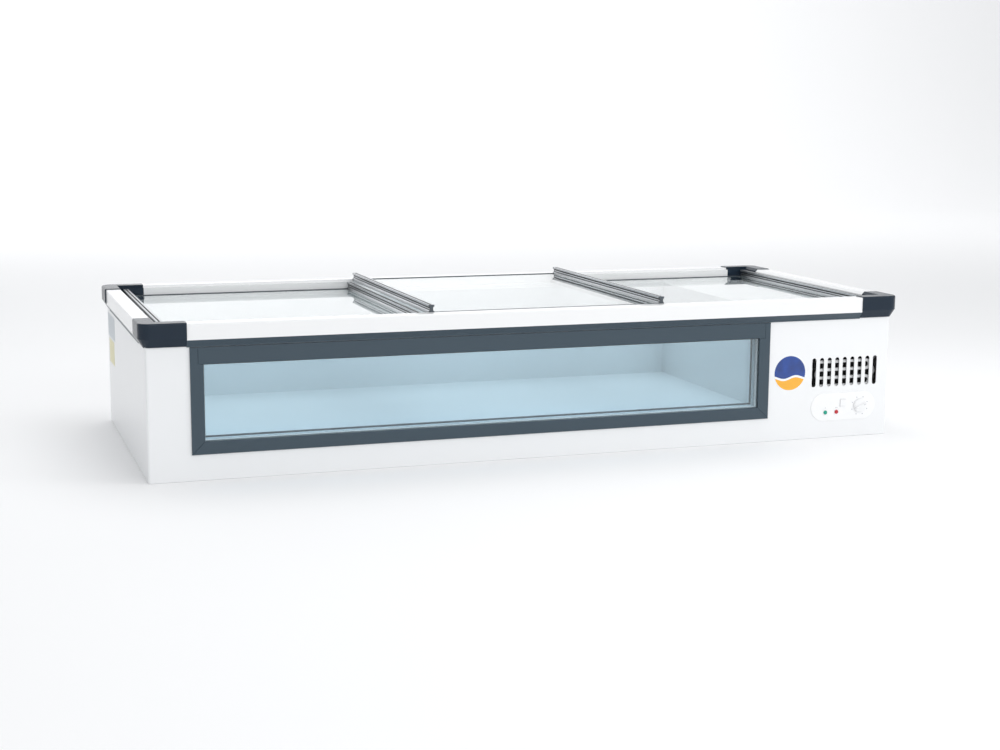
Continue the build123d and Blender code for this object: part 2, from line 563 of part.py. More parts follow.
with BuildPart() as relay_box:
    block((CAN_X + CAN_RADIUS + 2, CAN_Y - 30, 90), (CAN_X + CAN_RADIUS + 28, CAN_Y + 30, 150))
    fillet(edges().filter_by(Axis.X), radius=5)
save(relay_box, "relay_box")

CONDENSER_LEFT, CONDENSER_RIGHT = 770.0, 960.0
CONDENSER_FRONT, CONDENSER_BACK = FRONT + 15, FRONT + 65
CONDENSER_LOW, CONDENSER_HIGH = 130.0, 284.0
CONDENSER_ROWS = 7
CONDENSER_PITCH = 22.0
CONDENSER_TUBE = 4.0
CONDENSER_BEND = 10.9
CONDENSER_ENDS = 12.0     # how far the tube bends stand out of the fins
ROW_LOW = 141.0
COLUMN_FRONT, COLUMN_BACK = CONDENSER_FRONT + 12, CONDENSER_BACK - 12
FIN_PITCH, FIN_GAP, FIN_DEPTH = 8.0, 6.0, 17.5
FIN_GROOVES = 23
ROW_HEIGHTS = [ROW_LOW + row * CONDENSER_PITCH for row in range(CONDENSER_ROWS)]

with BuildPart() as condenser_fins:
    block((CONDENSER_LEFT, CONDENSER_FRONT, CONDENSER_LOW), (CONDENSER_RIGHT, CONDENSER_BACK, CONDENSER_HIGH))
    middle_x = (CONDENSER_LEFT + CONDENSER_RIGHT) / 2
    for groove_x in row_of(FIN_GROOVES, FIN_PITCH):
        low_x, high_x = middle_x + groove_x - FIN_GAP / 2, middle_x + groove_x + FIN_GAP / 2
        block((low_x, CONDENSER_FRONT, CONDENSER_LOW), (high_x, CONDENSER_FRONT + FIN_DEPTH, CONDENSER_HIGH),
              Mode.SUBTRACT)
        block((low_x, CONDENSER_BACK - FIN_DEPTH, CONDENSER_LOW), (high_x, CONDENSER_BACK, CONDENSER_HIGH),
              Mode.SUBTRACT)
    with BuildSketch(Plane.YZ.offset(middle_x)):
        with Locations([(y, z) for y in (COLUMN_FRONT, COLUMN_BACK) for z in ROW_HEIGHTS]):
            Circle(CONDENSER_TUBE + 0.2)
    extrude(amount=CONDENSER_RIGHT - CONDENSER_LEFT, both=True, mode=Mode.SUBTRACT)
save(condenser_fins, "condenser_fins")


def zigzag(left, right, y, heights, start_left):
    """Points of a serpentine tube that crosses left to right and back, one row per height."""
    points = []
    for row, z in enumerate(heights):
        ends = (left, right) if (row % 2 == 0) == start_left else (right, left)
        points += [(ends[0], y, z), (ends[1], y, z)]
    return points


BENDS_LEFT, BENDS_RIGHT = CONDENSER_LEFT - CONDENSER_ENDS, CONDENSER_RIGHT + CONDENSER_ENDS
with BuildPart() as condenser_tubes:
    add(pipe(zigzag(BENDS_LEFT, BENDS_RIGHT, COLUMN_BACK, ROW_HEIGHTS[::-1], True)
             + zigzag(BENDS_LEFT, BENDS_RIGHT, COLUMN_FRONT, ROW_HEIGHTS, False),
             CONDENSER_BEND, CONDENSER_TUBE))
save(condenser_tubes, "condenser_tubes")

FAN_X, FAN_Z = middle_x, 207.0
COLLAR_RADIUS = 70.0
SHROUD_FRONT = CONDENSER_BACK + 4
SHROUD_BACK = SHROUD_FRONT + 2
COLLAR_BACK = SHROUD_BACK + 30
HUB_FRONT, HUB_BACK = SHROUD_BACK + 6, SHROUD_BACK + 26
HUB_RADIUS = 20.0
BLADE_COUNT = 5
BLADE_LENGTH, BLADE_CHORD, BLADE_THICK, BLADE_PITCH = 44.0, 36.0, 1.8, 28.0
FAN_MIDDLE = (HUB_FRONT + HUB_BACK) / 2
MOTOR_FRONT, MOTOR_BACK = HUB_BACK + 10, HUB_BACK + 60
STRAP = 3.0
STRAP_LOW, STRAP_HIGH = FAN_Z - COLLAR_RADIUS - 1, FAN_Z + COLLAR_RADIUS + 1

with BuildPart() as fan_shroud:
    block((CONDENSER_LEFT, SHROUD_FRONT, CONDENSER_LOW), (CONDENSER_RIGHT, SHROUD_BACK, CONDENSER_HIGH))
    rod((FAN_X, SHROUD_FRONT, FAN_Z), (0, 1, 0), COLLAR_RADIUS, COLLAR_BACK - SHROUD_FRONT)
    rod((FAN_X, SHROUD_FRONT - 1, FAN_Z), (0, 1, 0), COLLAR_RADIUS - 2, COLLAR_BACK - SHROUD_FRONT + 2,
        Mode.SUBTRACT)
    block((FAN_X - 9, MOTOR_BACK, STRAP_LOW - STRAP), (FAN_X + 9, MOTOR_BACK + STRAP, STRAP_HIGH + STRAP))
    block((FAN_X - 9, SHROUD_BACK, STRAP_LOW - STRAP), (FAN_X + 9, MOTOR_BACK, STRAP_LOW))
    block((FAN_X - 9, SHROUD_BACK, STRAP_HIGH), (FAN_X + 9, MOTOR_BACK, STRAP_HIGH + STRAP))
save(fan_shroud, "fan_shroud")

with BuildPart() as fan_blade:
    rod((FAN_X, HUB_FRONT, FAN_Z), (0, 1, 0), HUB_RADIUS, HUB_BACK - HUB_FRONT)
    fillet(faces().sort_by(Axis.Y)[0].edges(), radius=4)
    with Locations(Plane(origin=(FAN_X, FAN_MIDDLE, FAN_Z), z_dir=(0, 1, 0))):
        with PolarLocations(HUB_RADIUS - 2, BLADE_COUNT):
            Box(BLADE_LENGTH, BLADE_CHORD, BLADE_THICK, rotation=(BLADE_PITCH, 0, 0),
                align=(Align.MIN, Align.CENTER, Align.CENTER))
    rod((FAN_X, HUB_FRONT + 6, FAN_Z), (0, 1, 0), SHAFT_RADIUS + RUNNING_GAP, HUB_BACK - HUB_FRONT,
        Mode.SUBTRACT)
save(fan_blade, "fan_blade")

with BuildPart() as fan_motor:
    rod((FAN_X, MOTOR_FRONT, FAN_Z), (0, 1, 0), 26, MOTOR_BACK - MOTOR_FRONT)
    fillet(faces().sort_by(Axis.Y)[0].edges(), radius=5)
    rod((FAN_X, MOTOR_FRONT, FAN_Z), (0, -1, 0), SHAFT_RADIUS, MOTOR_FRONT - HUB_FRONT - 7)
save(fan_motor, "fan_motor")


DRIER_X, DRIER_Z = 748.0, 150.0
DRIER_FRONT, DRIER_BACK = -200.0, -100.0
with BuildPart() as filter_drier:
    rod((DRIER_X, DRIER_FRONT, DRIER_Z), (0, 1, 0), 9, DRIER_BACK - DRIER_FRONT)
    fillet(edges(), radius=5)
save(filter_drier, "filter_drier")

PIPE_RADIUS = 3.0
PIPE_BEND = 10.0
EVAPORATOR_BEND = 12.9
GAS_Z = ROW_HEIGHTS[-1]
with BuildPart() as evaporator_coil:
    evaporator_heights = [EVAPORATOR_LOW + row * EVAPORATOR_PITCH for row in range(EVAPORATOR_ROWS)]
    evaporator_points = zigzag(EVAPORATOR_LEFT, EVAPORATOR_RIGHT, EVAPORATOR_Y, evaporator_heights, False)
    evaporator_points[0] = (PARTITION_RIGHT, EVAPORATOR_Y, EVAPORATOR_LOW)
    evaporator_points[-1] = (PARTITION_RIGHT, EVAPORATOR_Y, EVAPORATOR_HIGH)
    add(pipe(evaporator_points, EVAPORATOR_BEND, EVAPORATOR_TUBE))
save(evaporator_coil, "evaporator_coil")

with BuildPart() as refrigerant_pipes:
    add(pipe([(PARTITION_RIGHT, EVAPORATOR_Y, EVAPORATOR_HIGH), (830, EVAPORATOR_Y, EVAPORATOR_HIGH),
              (830, 160, EVAPORATOR_HIGH), (830, 160, CAN_TOP)], PIPE_BEND, PIPE_RADIUS))
    add(pipe([(850, 110, CAN_TOP), (850, 110, GAS_Z), (DRIER_X, 110, GAS_Z), (DRIER_X, COLUMN_BACK, GAS_Z),
              (BENDS_LEFT, COLUMN_BACK, GAS_Z)], PIPE_BEND - 1, PIPE_RADIUS))
    add(pipe([(BENDS_LEFT, COLUMN_FRONT, GAS_Z), (DRIER_X, COLUMN_FRONT, GAS_Z),
              (DRIER_X, COLUMN_FRONT, DRIER_Z), (DRIER_X, DRIER_FRONT, DRIER_Z)], PIPE_BEND - 1, PIPE_RADIUS))
    add(pipe([(DRIER_X, DRIER_BACK, DRIER_Z), (DRIER_X, EVAPORATOR_Y, DRIER_Z),
              (DRIER_X, EVAPORATOR_Y, EVAPORATOR_LOW), (PARTITION_RIGHT, EVAPORATOR_Y, EVAPORATOR_LOW)],
             PIPE_BEND, PIPE_RADIUS))
save(refrigerant_pipes, "refrigerant_pipes")

GLAND_BORE = 4.2
GLAND_INNER, GLAND_OUTER = REAR - 8, REAR + 12
with BuildPart() as cable_gland:
    rod((GLAND_X, GLAND_INNER, GLAND_Z), (0, 1, 0), GLAND_HOLE - 0.2, GLAND_OUTER - GLAND_INNER)
    chamfer(faces().sort_by(Axis.Y)[-1].edges(), length=1.5)
    rod((GLAND_X, REAR, GLAND_Z), (0, 1, 0), 13, 4)
    rod((GLAND_X, GLAND_INNER + 2, GLAND_Z), (0, 1, 0), 12, 4)
    rod((GLAND_X, GLAND_INNER - 1, GLAND_Z), (0, 1, 0), GLAND_BORE, GLAND_OUTER - GLAND_INNER + 2, Mode.SUBTRACT)
save(cable_gland, "cable_gland")

# ---------------------------------------------------------------- sliding glass lids
LID_LIFT = 0.5            # glass above its ledge
RUNNER_LIFT = 0.3
LIP_THICK = 2.0
WAIST = 3.0               # how far the handle's neck steps in on each side
LOWER_LID_HALF, LOWER_RUNNER = 372.0, 1.8
UPPER_LID_HALF, UPPER_RUNNER = 383.5, 1.9


def handle_section(edge_x, inward, glass_top):
    """A handle over the end of a lid: a lip over the glass edge, a foot, a neck and a wide top."""
    section = [(0, -LID_GLASS), (LIP_THICK, -LID_GLASS), (LIP_THICK, 0), (HANDLE_WIDTH, 0), (HANDLE_WIDTH, 3),
               (HANDLE_WIDTH - WAIST, 5), (HANDLE_WIDTH - WAIST, 13), (HANDLE_WIDTH, 15),
               (HANDLE_WIDTH, HANDLE_HEIGHT), (0, HANDLE_HEIGHT), (0, 15), (WAIST, 13), (WAIST, 5), (0, 3)]
    return [(edge_x + inward * x, glass_top + z) for x, z in section]


def make_lid(name, left, right, half, runner, ledge):
    """One lid: the glass, a handle on each end, and its dark end caps and edge runners."""
    glass_low = ledge + LID_LIFT
    glass_top = glass_low + LID_GLASS
    with BuildPart() as glass:
        block((left + LIP_THICK, -half, glass_low), (right - LIP_THICK, half, glass_top))
    save(glass, f"{name}_glass")

    with BuildPart() as handles:
        for edge_x, inward in ((left, 1), (right, -1)):
            with BuildSketch(Plane.XZ) as section:
                Polygon(*handle_section(edge_x, inward, glass_top), align=None)
            extrude(section.sketch, amount=half - CAP, both=True)
    save(handles, f"{name}_handles")

    with BuildPart() as trim:
        for near, far in ((-half - runner, -half), (half, half + runner)):
            block((left, near, ledge + RUNNER_LIFT), (right, far, glass_top))
        for near, far in ((-half - runner, CAP - half), (half - CAP, half + runner)):
            for edge_x, inward in ((left, 1), (right, -1)):
                with BuildSketch(Plane.XZ.offset(-(near + far) / 2)) as section:
                    Polygon(*handle_section(edge_x, inward, glass_top), align=None)
                extrude(section.sketch, amount=(far - near) / 2, both=True)
    save(trim, f"{name}_trim")


make_lid("left_lid", -960.0, -308.0, LOWER_LID_HALF, LOWER_RUNNER, LOWER_TRACK)
make_lid("right_lid", 308.0, 960.0, LOWER_LID_HALF, LOWER_RUNNER, LOWER_TRACK)
make_lid("middle_lid", -303.0, 334.0, UPPER_LID_HALF, UPPER_RUNNER, UPPER_TRACK)
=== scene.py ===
"""The looks of a low shop chest freezer: its finishes, and the pieces that carry fine detail."""

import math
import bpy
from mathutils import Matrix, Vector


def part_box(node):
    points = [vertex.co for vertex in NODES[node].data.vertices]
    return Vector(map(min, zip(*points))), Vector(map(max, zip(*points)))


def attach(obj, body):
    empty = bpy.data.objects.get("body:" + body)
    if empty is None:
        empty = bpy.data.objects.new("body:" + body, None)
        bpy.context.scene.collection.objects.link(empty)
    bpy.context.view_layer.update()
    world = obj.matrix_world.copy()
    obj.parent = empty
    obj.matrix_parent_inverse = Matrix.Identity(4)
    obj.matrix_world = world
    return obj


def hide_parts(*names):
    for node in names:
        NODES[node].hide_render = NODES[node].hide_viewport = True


bl_info = {
    "name": "Chest freezer",
    "version": (1, 0, 0),
    "blender": (4, 5, 0),
    "location": "View3D > Sidebar > Freezer",
    "description": "Dresses a low shop chest freezer with glass lids and a display window",
    "category": "Object",
}

import bpy
from mathutils import Matrix, Vector

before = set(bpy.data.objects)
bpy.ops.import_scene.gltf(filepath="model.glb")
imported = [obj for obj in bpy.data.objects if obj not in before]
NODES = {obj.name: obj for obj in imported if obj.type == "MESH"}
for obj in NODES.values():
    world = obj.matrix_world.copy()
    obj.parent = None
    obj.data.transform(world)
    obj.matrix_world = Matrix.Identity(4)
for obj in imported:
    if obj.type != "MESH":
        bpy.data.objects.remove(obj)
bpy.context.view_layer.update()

MM = 0.001
LIDS = ("left_lid", "middle_lid", "right_lid")
GROUPS = {}
FINISH = {}


# ---- what a user would change
class FreezerSizes(bpy.types.PropertyGroup):
    """Sizes of the fine detail."""

    rib_depth: bpy.props.FloatProperty(
        name="Rib depth", description="Depth of the grooves along the lid handles",
        default=0.35 * MM, unit="LENGTH")
    dot_pitch: bpy.props.FloatProperty(
        name="Dot pitch", description="Distance between the printed dots on the lid glass",
        default=5.0 * MM, unit="LENGTH")
    dot_radius: bpy.props.FloatProperty(
        name="Dot radius", description="Radius of one printed dot on the lid glass",
        default=1.5 * MM, unit="LENGTH")
    dot_rows: bpy.props.IntProperty(
        name="Dot rows", description="Rows of printed dots along each edge of a lid", default=4)
    knob_flutes: bpy.props.IntProperty(
        name="Knob flutes", description="Finger grooves round the thermostat knob", default=24)
    louvre_proud: bpy.props.FloatProperty(
        name="Louvre height", description="How far the rear louvres stand out of the sheet",
        default=4.0 * MM, unit="LENGTH")


def colour_property(name, description, colour):
    """A colour that a user can change, as a linear RGB value."""
    return bpy.props.FloatVectorProperty(
        name=name, description=description, subtype="COLOR", size=3, min=0.0, max=1.0, default=colour)


class FreezerColours(bpy.types.PropertyGroup):
    """Colours of the finishes."""

    paint: colour_property("Sheet paint", "White powder coat on the outer sheets", (0.84, 0.85, 0.86))
    rail: colour_property("Rail paint", "Glossy white of the rim rails", (0.86, 0.865, 0.87))
    corner: colour_property("Corner moulding", "Slate blue of the rim's corner pieces", (0.010, 0.021, 0.037))
    slate: colour_property("Frame profile", "Slate blue of window frame and skirt", (0.038, 0.064, 0.087))
    handle: colour_property("Handle metal", "Anodised metal of the lid handles", (0.60, 0.62, 0.64))
    glass: colour_property("Lid glass", "Tint of the sliding lids", (0.97, 0.985, 0.985))
    pane: colour_property("Window glass", "Tint of each window pane", (0.87, 0.945, 0.985))
    liner: colour_property("Liner", "Pale lacquered metal inside the tub", (0.70, 0.735, 0.745))
    green: colour_property("Power lamp", "Lens of the power lamp", (0.0, 0.34, 0.23))
    red: colour_property("Running lamp", "Lens of the running lamp", (0.48, 0.0, 0.012))
    label_top: colour_property("Label sky", "Upper field of the round label", (0.003, 0.045, 0.26))
    label_low: colour_property("Label sun", "Lower field of the round label", (0.88, 0.42, 0.025))


# ---- shader helpers
def new_group(name, inputs, outputs):
    """A shader node group with named sockets, given as (name, kind, default) and (name, kind)."""
    group = bpy.data.node_groups.new(name, "ShaderNodeTree")
    for label, kind, default in inputs:
        socket = group.interface.new_socket(name=label, in_out="INPUT", socket_type=kind)
        socket.default_value = default
    for label, kind in outputs:
        group.interface.new_socket(name=label, in_out="OUTPUT", socket_type=kind)
    return group, group.nodes.new("NodeGroupInput"), group.nodes.new("NodeGroupOutput")


def coloured(colour):
    """A colour property as the four numbers that a socket takes."""
    return (*colour, 1.0)


def feed(tree, source, target):
    """Fill a socket from another socket, or set it to a plain value."""
    if isinstance(source, bpy.types.NodeSocket):
        tree.links.new(source, target)
    else:
        target.default_value = source


def math_node(tree, operation, first, second=None):
    """A Math node fed by sockets or plain numbers; returns its output socket."""
    node = tree.nodes.new("ShaderNodeMath")
    node.operation = operation
    feed(tree, first, node.inputs[0])
    if second is not None:
        feed(tree, second, node.inputs[1])
    return node.outputs[0]


def noise_node(tree, vector, scale, detail):
    """A noise texture that reads a vector; returns its value socket."""
    node = tree.nodes.new("ShaderNodeTexNoise")
    feed(tree, scale, node.inputs["Scale"])
    feed(tree, detail, node.inputs["Detail"])
    feed(tree, vector, node.inputs["Vector"])
    return node.outputs["Fac"]


def spread(tree, value, low, high):
    """Rescale a 0 to 1 value to a range given by sockets or numbers."""
    node = tree.nodes.new("ShaderNodeMapRange")
    feed(tree, value, node.inputs["Value"])
    feed(tree, low, node.inputs["To Min"])
    feed(tree, high, node.inputs["To Max"])
    return node.outputs["Result"]


def mix_colours(tree, mask, first, second, how="MIX"):
    """Two colours mixed by a mask; returns the colour socket."""
    node = tree.nodes.new("ShaderNodeMix")
    node.data_type = "RGBA"
    node.blend_type = how
    feed(tree, mask, node.inputs["Factor"])
    feed(tree, first, node.inputs["A"])
    feed(tree, second, node.inputs["B"])
    return node.outputs["Result"]


def two_tone(tree, mask, colour, contrast):
    """A colour and a darker shade of it, mixed by a mask; returns the colour socket."""
    dark = tuple(channel * (1 - contrast) for channel in colour)
    return mix_colours(tree, mask, coloured(dark), coloured(colour))


def object_vector(tree):
    """Object coordinates, which are metres in the freezer's own frame."""
    return tree.nodes.new("ShaderNodeTexCoord").outputs["Object"]


def surface_bump(tree, height, strength, distance):
    """A bump from a height value; returns its normal socket."""
    node = tree.nodes.new("ShaderNodeBump")
    feed(tree, distance, node.inputs["Distance"])
    feed(tree, strength, node.inputs["Strength"])
    feed(tree, height, node.inputs["Height"])
    return node.outputs["Normal"]


def build_finish_group():
    """Shared surface life: slow colour drift, roughness change and a fine texture."""
    group, inside, outside = new_group(
        "surface_life",
        [("Colour", "NodeSocketColor", (0.8, 0.8, 0.8, 1.0)),
         ("Drift", "NodeSocketFloat", 0.03),
         ("Roughness", "NodeSocketFloat", 0.4),
         ("Roughness Change", "NodeSocketFloat", 0.06),
         ("Grain Scale", "NodeSocketFloat", 600.0),
         ("Grain Strength", "NodeSocketFloat", 0.1)],
        [("Colour", "NodeSocketColor"), ("Roughness", "NodeSocketFloat"), ("Normal", "NodeSocketVector")])
    place = object_vector(group)
    slow = noise_node(group, place, 3.5, 3.0)
    smears = noise_node(group, place, 22.0, 6.0)
    dimmest = math_node(group, "SUBTRACT", 1.0, inside.outputs["Drift"])
    level = spread(group, slow, dimmest, 1.0)
    tone = group.nodes.new("ShaderNodeCombineColor")
    for channel in tone.inputs:
        feed(group, level, channel)
    shade = mix_colours(group, 1.0, inside.outputs["Colour"], tone.outputs["Color"], "MULTIPLY")
    feed(group, shade, outside.inputs["Colour"])
    rougher = math_node(group, "ADD", inside.outputs["Roughness"], inside.outputs["Roughness Change"])
    feed(group, spread(group, smears, inside.outputs["Roughness"], rougher), outside.inputs["Roughness"])
    grain = noise_node(group, place, inside.outputs["Grain Scale"], 2.0)
    normal = surface_bump(group, grain, inside.outputs["Grain Strength"], 0.0004)
    feed(group, normal, outside.inputs["Normal"])
    return group


def build_drawn_group():
    """Fine lines along one axis, as drawn or brushed metal and extruded profiles have."""
    group, inside, outside = new_group(
        "drawn_lines",
        [("Stretch", "NodeSocketVector", (1.0, 1.0, 1.0)), ("Depth", "NodeSocketFloat", 0.2)],
        [("Lines", "NodeSocketFloat"), ("Normal", "NodeSocketVector")])
    scaled = group.nodes.new("ShaderNodeVectorMath")
    scaled.operation = "MULTIPLY"
    feed(group, object_vector(group), scaled.inputs[0])
    feed(group, inside.outputs["Stretch"], scaled.inputs[1])
    lines = noise_node(group, scaled.outputs["Vector"], 1.0, 5.0)
    feed(group, lines, outside.inputs["Lines"])
    feed(group, surface_bump(group, lines, inside.outputs["Depth"], 0.0003), outside.inputs["Normal"])
    return group


def build_cells_group():
    """A pattern of cells: the spangle of zinc, or the pressed pattern of embossed sheet."""
    group, inside, outside = new_group(
        "cells",
        [("Scale", "NodeSocketFloat", 80.0), ("Depth", "NodeSocketFloat", 0.2)],
        [("Cells", "NodeSocketFloat"), ("Normal", "NodeSocketVector")])
    cells = group.nodes.new("ShaderNodeTexVoronoi")
    feed(group, object_vector(group), cells.inputs["Vector"])
    feed(group, inside.outputs["Scale"], cells.inputs["Scale"])
    tint = group.nodes.new("ShaderNodeSeparateColor")
    feed(group, cells.outputs["Color"], tint.inputs["Color"])
    feed(group, tint.outputs["Red"], outside.inputs["Cells"])
    feed(group, surface_bump(group, cells.outputs["Distance"], inside.outputs["Depth"], 0.001),
         outside.inputs["Normal"])
    return group


def length_of(tree, first, second):
    """The length of a two-way offset; returns its value socket."""
    squares = [math_node(tree, "POWER", value, 2.0) for value in (first, second)]
    return math_node(tree, "SQRT", math_node(tree, "ADD", *squares))


def build_holes_group():
    """Small round holes on a square pitch along a thin strip."""
    group, inside, outside = new_group(
        "small_holes",
        [("Pitch", "NodeSocketFloat", 0.004), ("Radius", "NodeSocketFloat", 0.0008)],
        [("Holes", "NodeSocketFloat")])
    split = group.nodes.new("ShaderNodeSeparateXYZ")
    feed(group, object_vector(group), split.inputs["Vector"])

    def wrapped(value):
        ratio = math_node(group, "DIVIDE", value, inside.outputs["Pitch"])
        part = math_node(group, "SUBTRACT", math_node(group, "FRACT", ratio), 0.5)
        return math_node(group, "MULTIPLY", part, inside.outputs["Pitch"])

    along = wrapped(math_node(group, "ADD", split.outputs["X"], split.outputs["Z"]))
    distance = length_of(group, along, wrapped(split.outputs["Y"]))
    feed(group, math_node(group, "LESS_THAN", distance, inside.outputs["Radius"]), outside.inputs["Holes"])
    return group


def place_group(tree, name, **values):
    """Place a shared group in a material with its own values."""
    node = tree.nodes.new("ShaderNodeGroup")
    node.node_tree = GROUPS[name]
    for label, value in values.items():
        node.inputs[label.replace("_", " ")].default_value = value
    return node


def blank_material(name):
    """A node material with a lone Principled shader; returns the material, its tree and the shader."""
    material = bpy.data.materials.new(name)
    material.use_nodes = True
    return material, material.node_tree, material.node_tree.nodes["Principled BSDF"]


def solid_finish(name, colour, roughness, drift, change, grain, texture,
                 metallic=0.0, coat=0.0, specular=0.5):
    """Paint, moulded plastic, rubber or plain metal with the shared surface life."""
    material, tree, shader = blank_material(name)
    life = place_group(tree, "surface_life", Colour=coloured(colour), Drift=drift, Roughness=roughness,
                       Roughness_Change=change, Grain_Scale=grain, Grain_Strength=texture)
    feed(tree, life.outputs["Colour"], shader.inputs["Base Color"])
    feed(tree, life.outputs["Roughness"], shader.inputs["Roughness"])
    feed(tree, life.outputs["Normal"], shader.inputs["Normal"])
    shader.inputs["Metallic"].default_value = metallic
    shader.inputs["Coat Weight"].default_value = coat
    shader.inputs["Coat Roughness"].default_value = 0.08
    shader.inputs["Specular IOR Level"].default_value = specular
    return material


def drawn_finish(name, colour, roughness, stretch, depth, metallic=1.0, contrast=0.12, coat=0.0):
    """An extrusion or drawn metal with fine lines along its length."""
    material, tree, shader = blank_material(name)
    drawn = place_group(tree, "drawn_lines", Stretch=stretch, Depth=depth)
    feed(tree, two_tone(tree, drawn.outputs["Lines"], colour, contrast), shader.inputs["Base Color"])
    feed(tree, spread(tree, drawn.outputs["Lines"], roughness + 0.08, roughness), shader.inputs["Roughness"])
    feed(tree, drawn.outputs["Normal"], shader.inputs["Normal"])
    shader.inputs["Metallic"].default_value = metallic
    shader.inputs["Coat Weight"].default_value = coat
    return material


def cell_finish(name, colour, roughness, scale, depth, metallic, contrast):
    """Zinc-coated or embossed sheet."""
    material, tree, shader = blank_material(name)
    cells = place_group(tree, "cells", Scale=scale, Depth=depth)
    feed(tree, two_tone(tree, cells.outputs["Cells"], colour, contrast), shader.inputs["Base Color"])
    feed(tree, spread(tree, cells.outputs["Cells"], roughness, roughness + 0.1), shader.inputs["Roughness"])
    feed(tree, cells.outputs["Normal"], shader.inputs["Normal"])
    shader.inputs["Metallic"].default_value = metallic
    return material


def clear_finish(name, tint):
    """Glass that refracts for the eye and lets lamplight through to what is behind it."""
    material, tree, shader = blank_material(name)
    shader.inputs["Base Color"].default_value = coloured(tint)
    shader.inputs["Roughness"].default_value = 0.0
    shader.inputs["IOR"].default_value = 1.5
    shader.inputs["Transmission Weight"].default_value = 1.0
    smears = noise_node(tree, object_vector(tree), 6.0, 2.0)
    feed(tree, surface_bump(tree, smears, 0.02, 0.0005), shader.inputs["Normal"])
    open_way = tree.nodes.new("ShaderNodeBsdfTransparent")
    open_way.inputs["Color"].default_value = coloured(tint)
    path = tree.nodes.new("ShaderNodeLightPath")
    choice = tree.nodes.new("ShaderNodeMixShader")
    feed(tree, path.outputs["Is Shadow Ray"], choice.inputs["Fac"])
    feed(tree, shader.outputs["BSDF"], choice.inputs[1])
    feed(tree, open_way.outputs["BSDF"], choice.inputs[2])
    feed(tree, choice.outputs["Shader"], tree.nodes["Material Output"].inputs["Surface"])
    return material


def spacer_finish(name, colour):
    """Pale spacer bar with rows of small breather holes."""
    material = drawn_finish(name, colour, 0.35, (30.0, 3000.0, 30.0), 0.1, metallic=0.0, contrast=0.03)
    tree = material.node_tree
    base = tree.nodes["Principled BSDF"].inputs["Base Color"]
    plain = base.links[0].from_socket
    holes = place_group(tree, "small_holes", Pitch=4 * MM, Radius=0.9 * MM)
    hole_grey = coloured((0.35, 0.37, 0.38))
    feed(tree, mix_colours(tree, holes.outputs["Holes"], plain, hole_grey), base)
    return material


# The round label's drawing, in shares of its radius.
WAVE_COUNT, WAVE_HEIGHT = 4.2, 0.09
BAND_TOP, BAND_LOW = -0.22, -0.34
LABEL_RIM = 0.965


def label_finish(name, sky, sun, centre, radius):
    """A round label: a blue field over a yellow one, a wavy white band between, a white rim."""
    material, tree, shader = blank_material(name)
    split = tree.nodes.new("ShaderNodeSeparateXYZ")
    feed(tree, object_vector(tree), split.inputs["Vector"])
    x, z = [math_node(tree, "DIVIDE", math_node(tree, "SUBTRACT", split.outputs[axis], place), radius)
            for axis, place in (("X", centre[0]), ("Z", centre[2]))]
    swing = math_node(tree, "SINE", math_node(tree, "MULTIPLY", x, WAVE_COUNT))
    height = math_node(tree, "SUBTRACT", z, math_node(tree, "MULTIPLY", swing, WAVE_HEIGHT))
    deep = tuple(channel * 0.35 for channel in sky)
    bright = tuple(min(1.0, channel * 1.5) for channel in sky)
    white = coloured((0.85, 0.88, 0.90))
    streaks = noise_node(tree, object_vector(tree), 45.0, 3.0)
    field = mix_colours(tree, streaks, coloured(deep), coloured(bright))
    field = mix_colours(tree, math_node(tree, "LESS_THAN", height, BAND_TOP), field, white)
    field = mix_colours(tree, math_node(tree, "LESS_THAN", height, BAND_LOW), field, coloured(sun))
    rim = math_node(tree, "GREATER_THAN", length_of(tree, x, z), LABEL_RIM)
    feed(tree, mix_colours(tree, rim, field, white), shader.inputs["Base Color"])
    shader.inputs["Roughness"].default_value = 0.25
    shader.inputs["Coat Weight"].default_value = 0.5
    return material


# ---- mesh helpers
def clear_selection():
    """Leave edit mode and deselect everything."""
    if bpy.context.object and bpy.context.object.mode != "OBJECT":
        bpy.ops.object.mode_set(mode="OBJECT")
    bpy.ops.object.select_all(action="DESELECT")


def only(piece):
    """Select one object and make it active."""
    clear_selection()
    piece.select_set(True)
    bpy.context.view_layer.objects.active = piece


def settle(piece, name, body, material, replaces=()):
    """Put the piece's place into its mesh, name it, finish it and join it to its body."""
    only(piece)
    bpy.ops.object.transform_apply(location=True, rotation=True, scale=True)
    piece.name = name
    piece.data.name = name
    piece.data.materials.clear()
    piece.data.materials.append(material)
    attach(piece, body)
    if replaces:
        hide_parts(*replaces)
    return piece


def apply_modifier(piece, kind, **settings):
    """Add one modifier with its settings and apply it."""
    only(piece)
    modifier = piece.modifiers.new(kind.lower(), kind)
    for label, value in settings.items():
        setattr(modifier, label, value)
    bpy.ops.object.modifier_apply(modifier=modifier.name)


def round_edges(piece, width, segments, sharper_than=30.0):
    """Bevel the edges that are sharper than an angle in degrees."""
    apply_modifier(piece, "BEVEL", width=width, segments=segments, limit_method="ANGLE",
                   angle_limit=math.radians(sharper_than))


def repeat(piece, count, step):
    """Repeat a piece in a row, each a step from the last."""
    apply_modifier(piece, "ARRAY", count=count, use_relative_offset=False, use_constant_offset=True,
                   constant_offset_displace=step)


def cut(piece, cutter):
    """Take the cutter's shape out of a piece."""
    apply_modifier(piece, "BOOLEAN", operation="DIFFERENCE", object=cutter, solver="EXACT")


def fix_place(piece):
    """Put the piece's place into its mesh, so that its origin is the freezer's."""
    only(piece)
    bpy.ops.object.transform_apply(location=True, rotation=False, scale=False)


def smooth(piece, degrees):
    """Shade smooth, keeping edges sharper than an angle."""
    only(piece)
    bpy.ops.object.shade_smooth_by_angle(angle=math.radians(degrees))


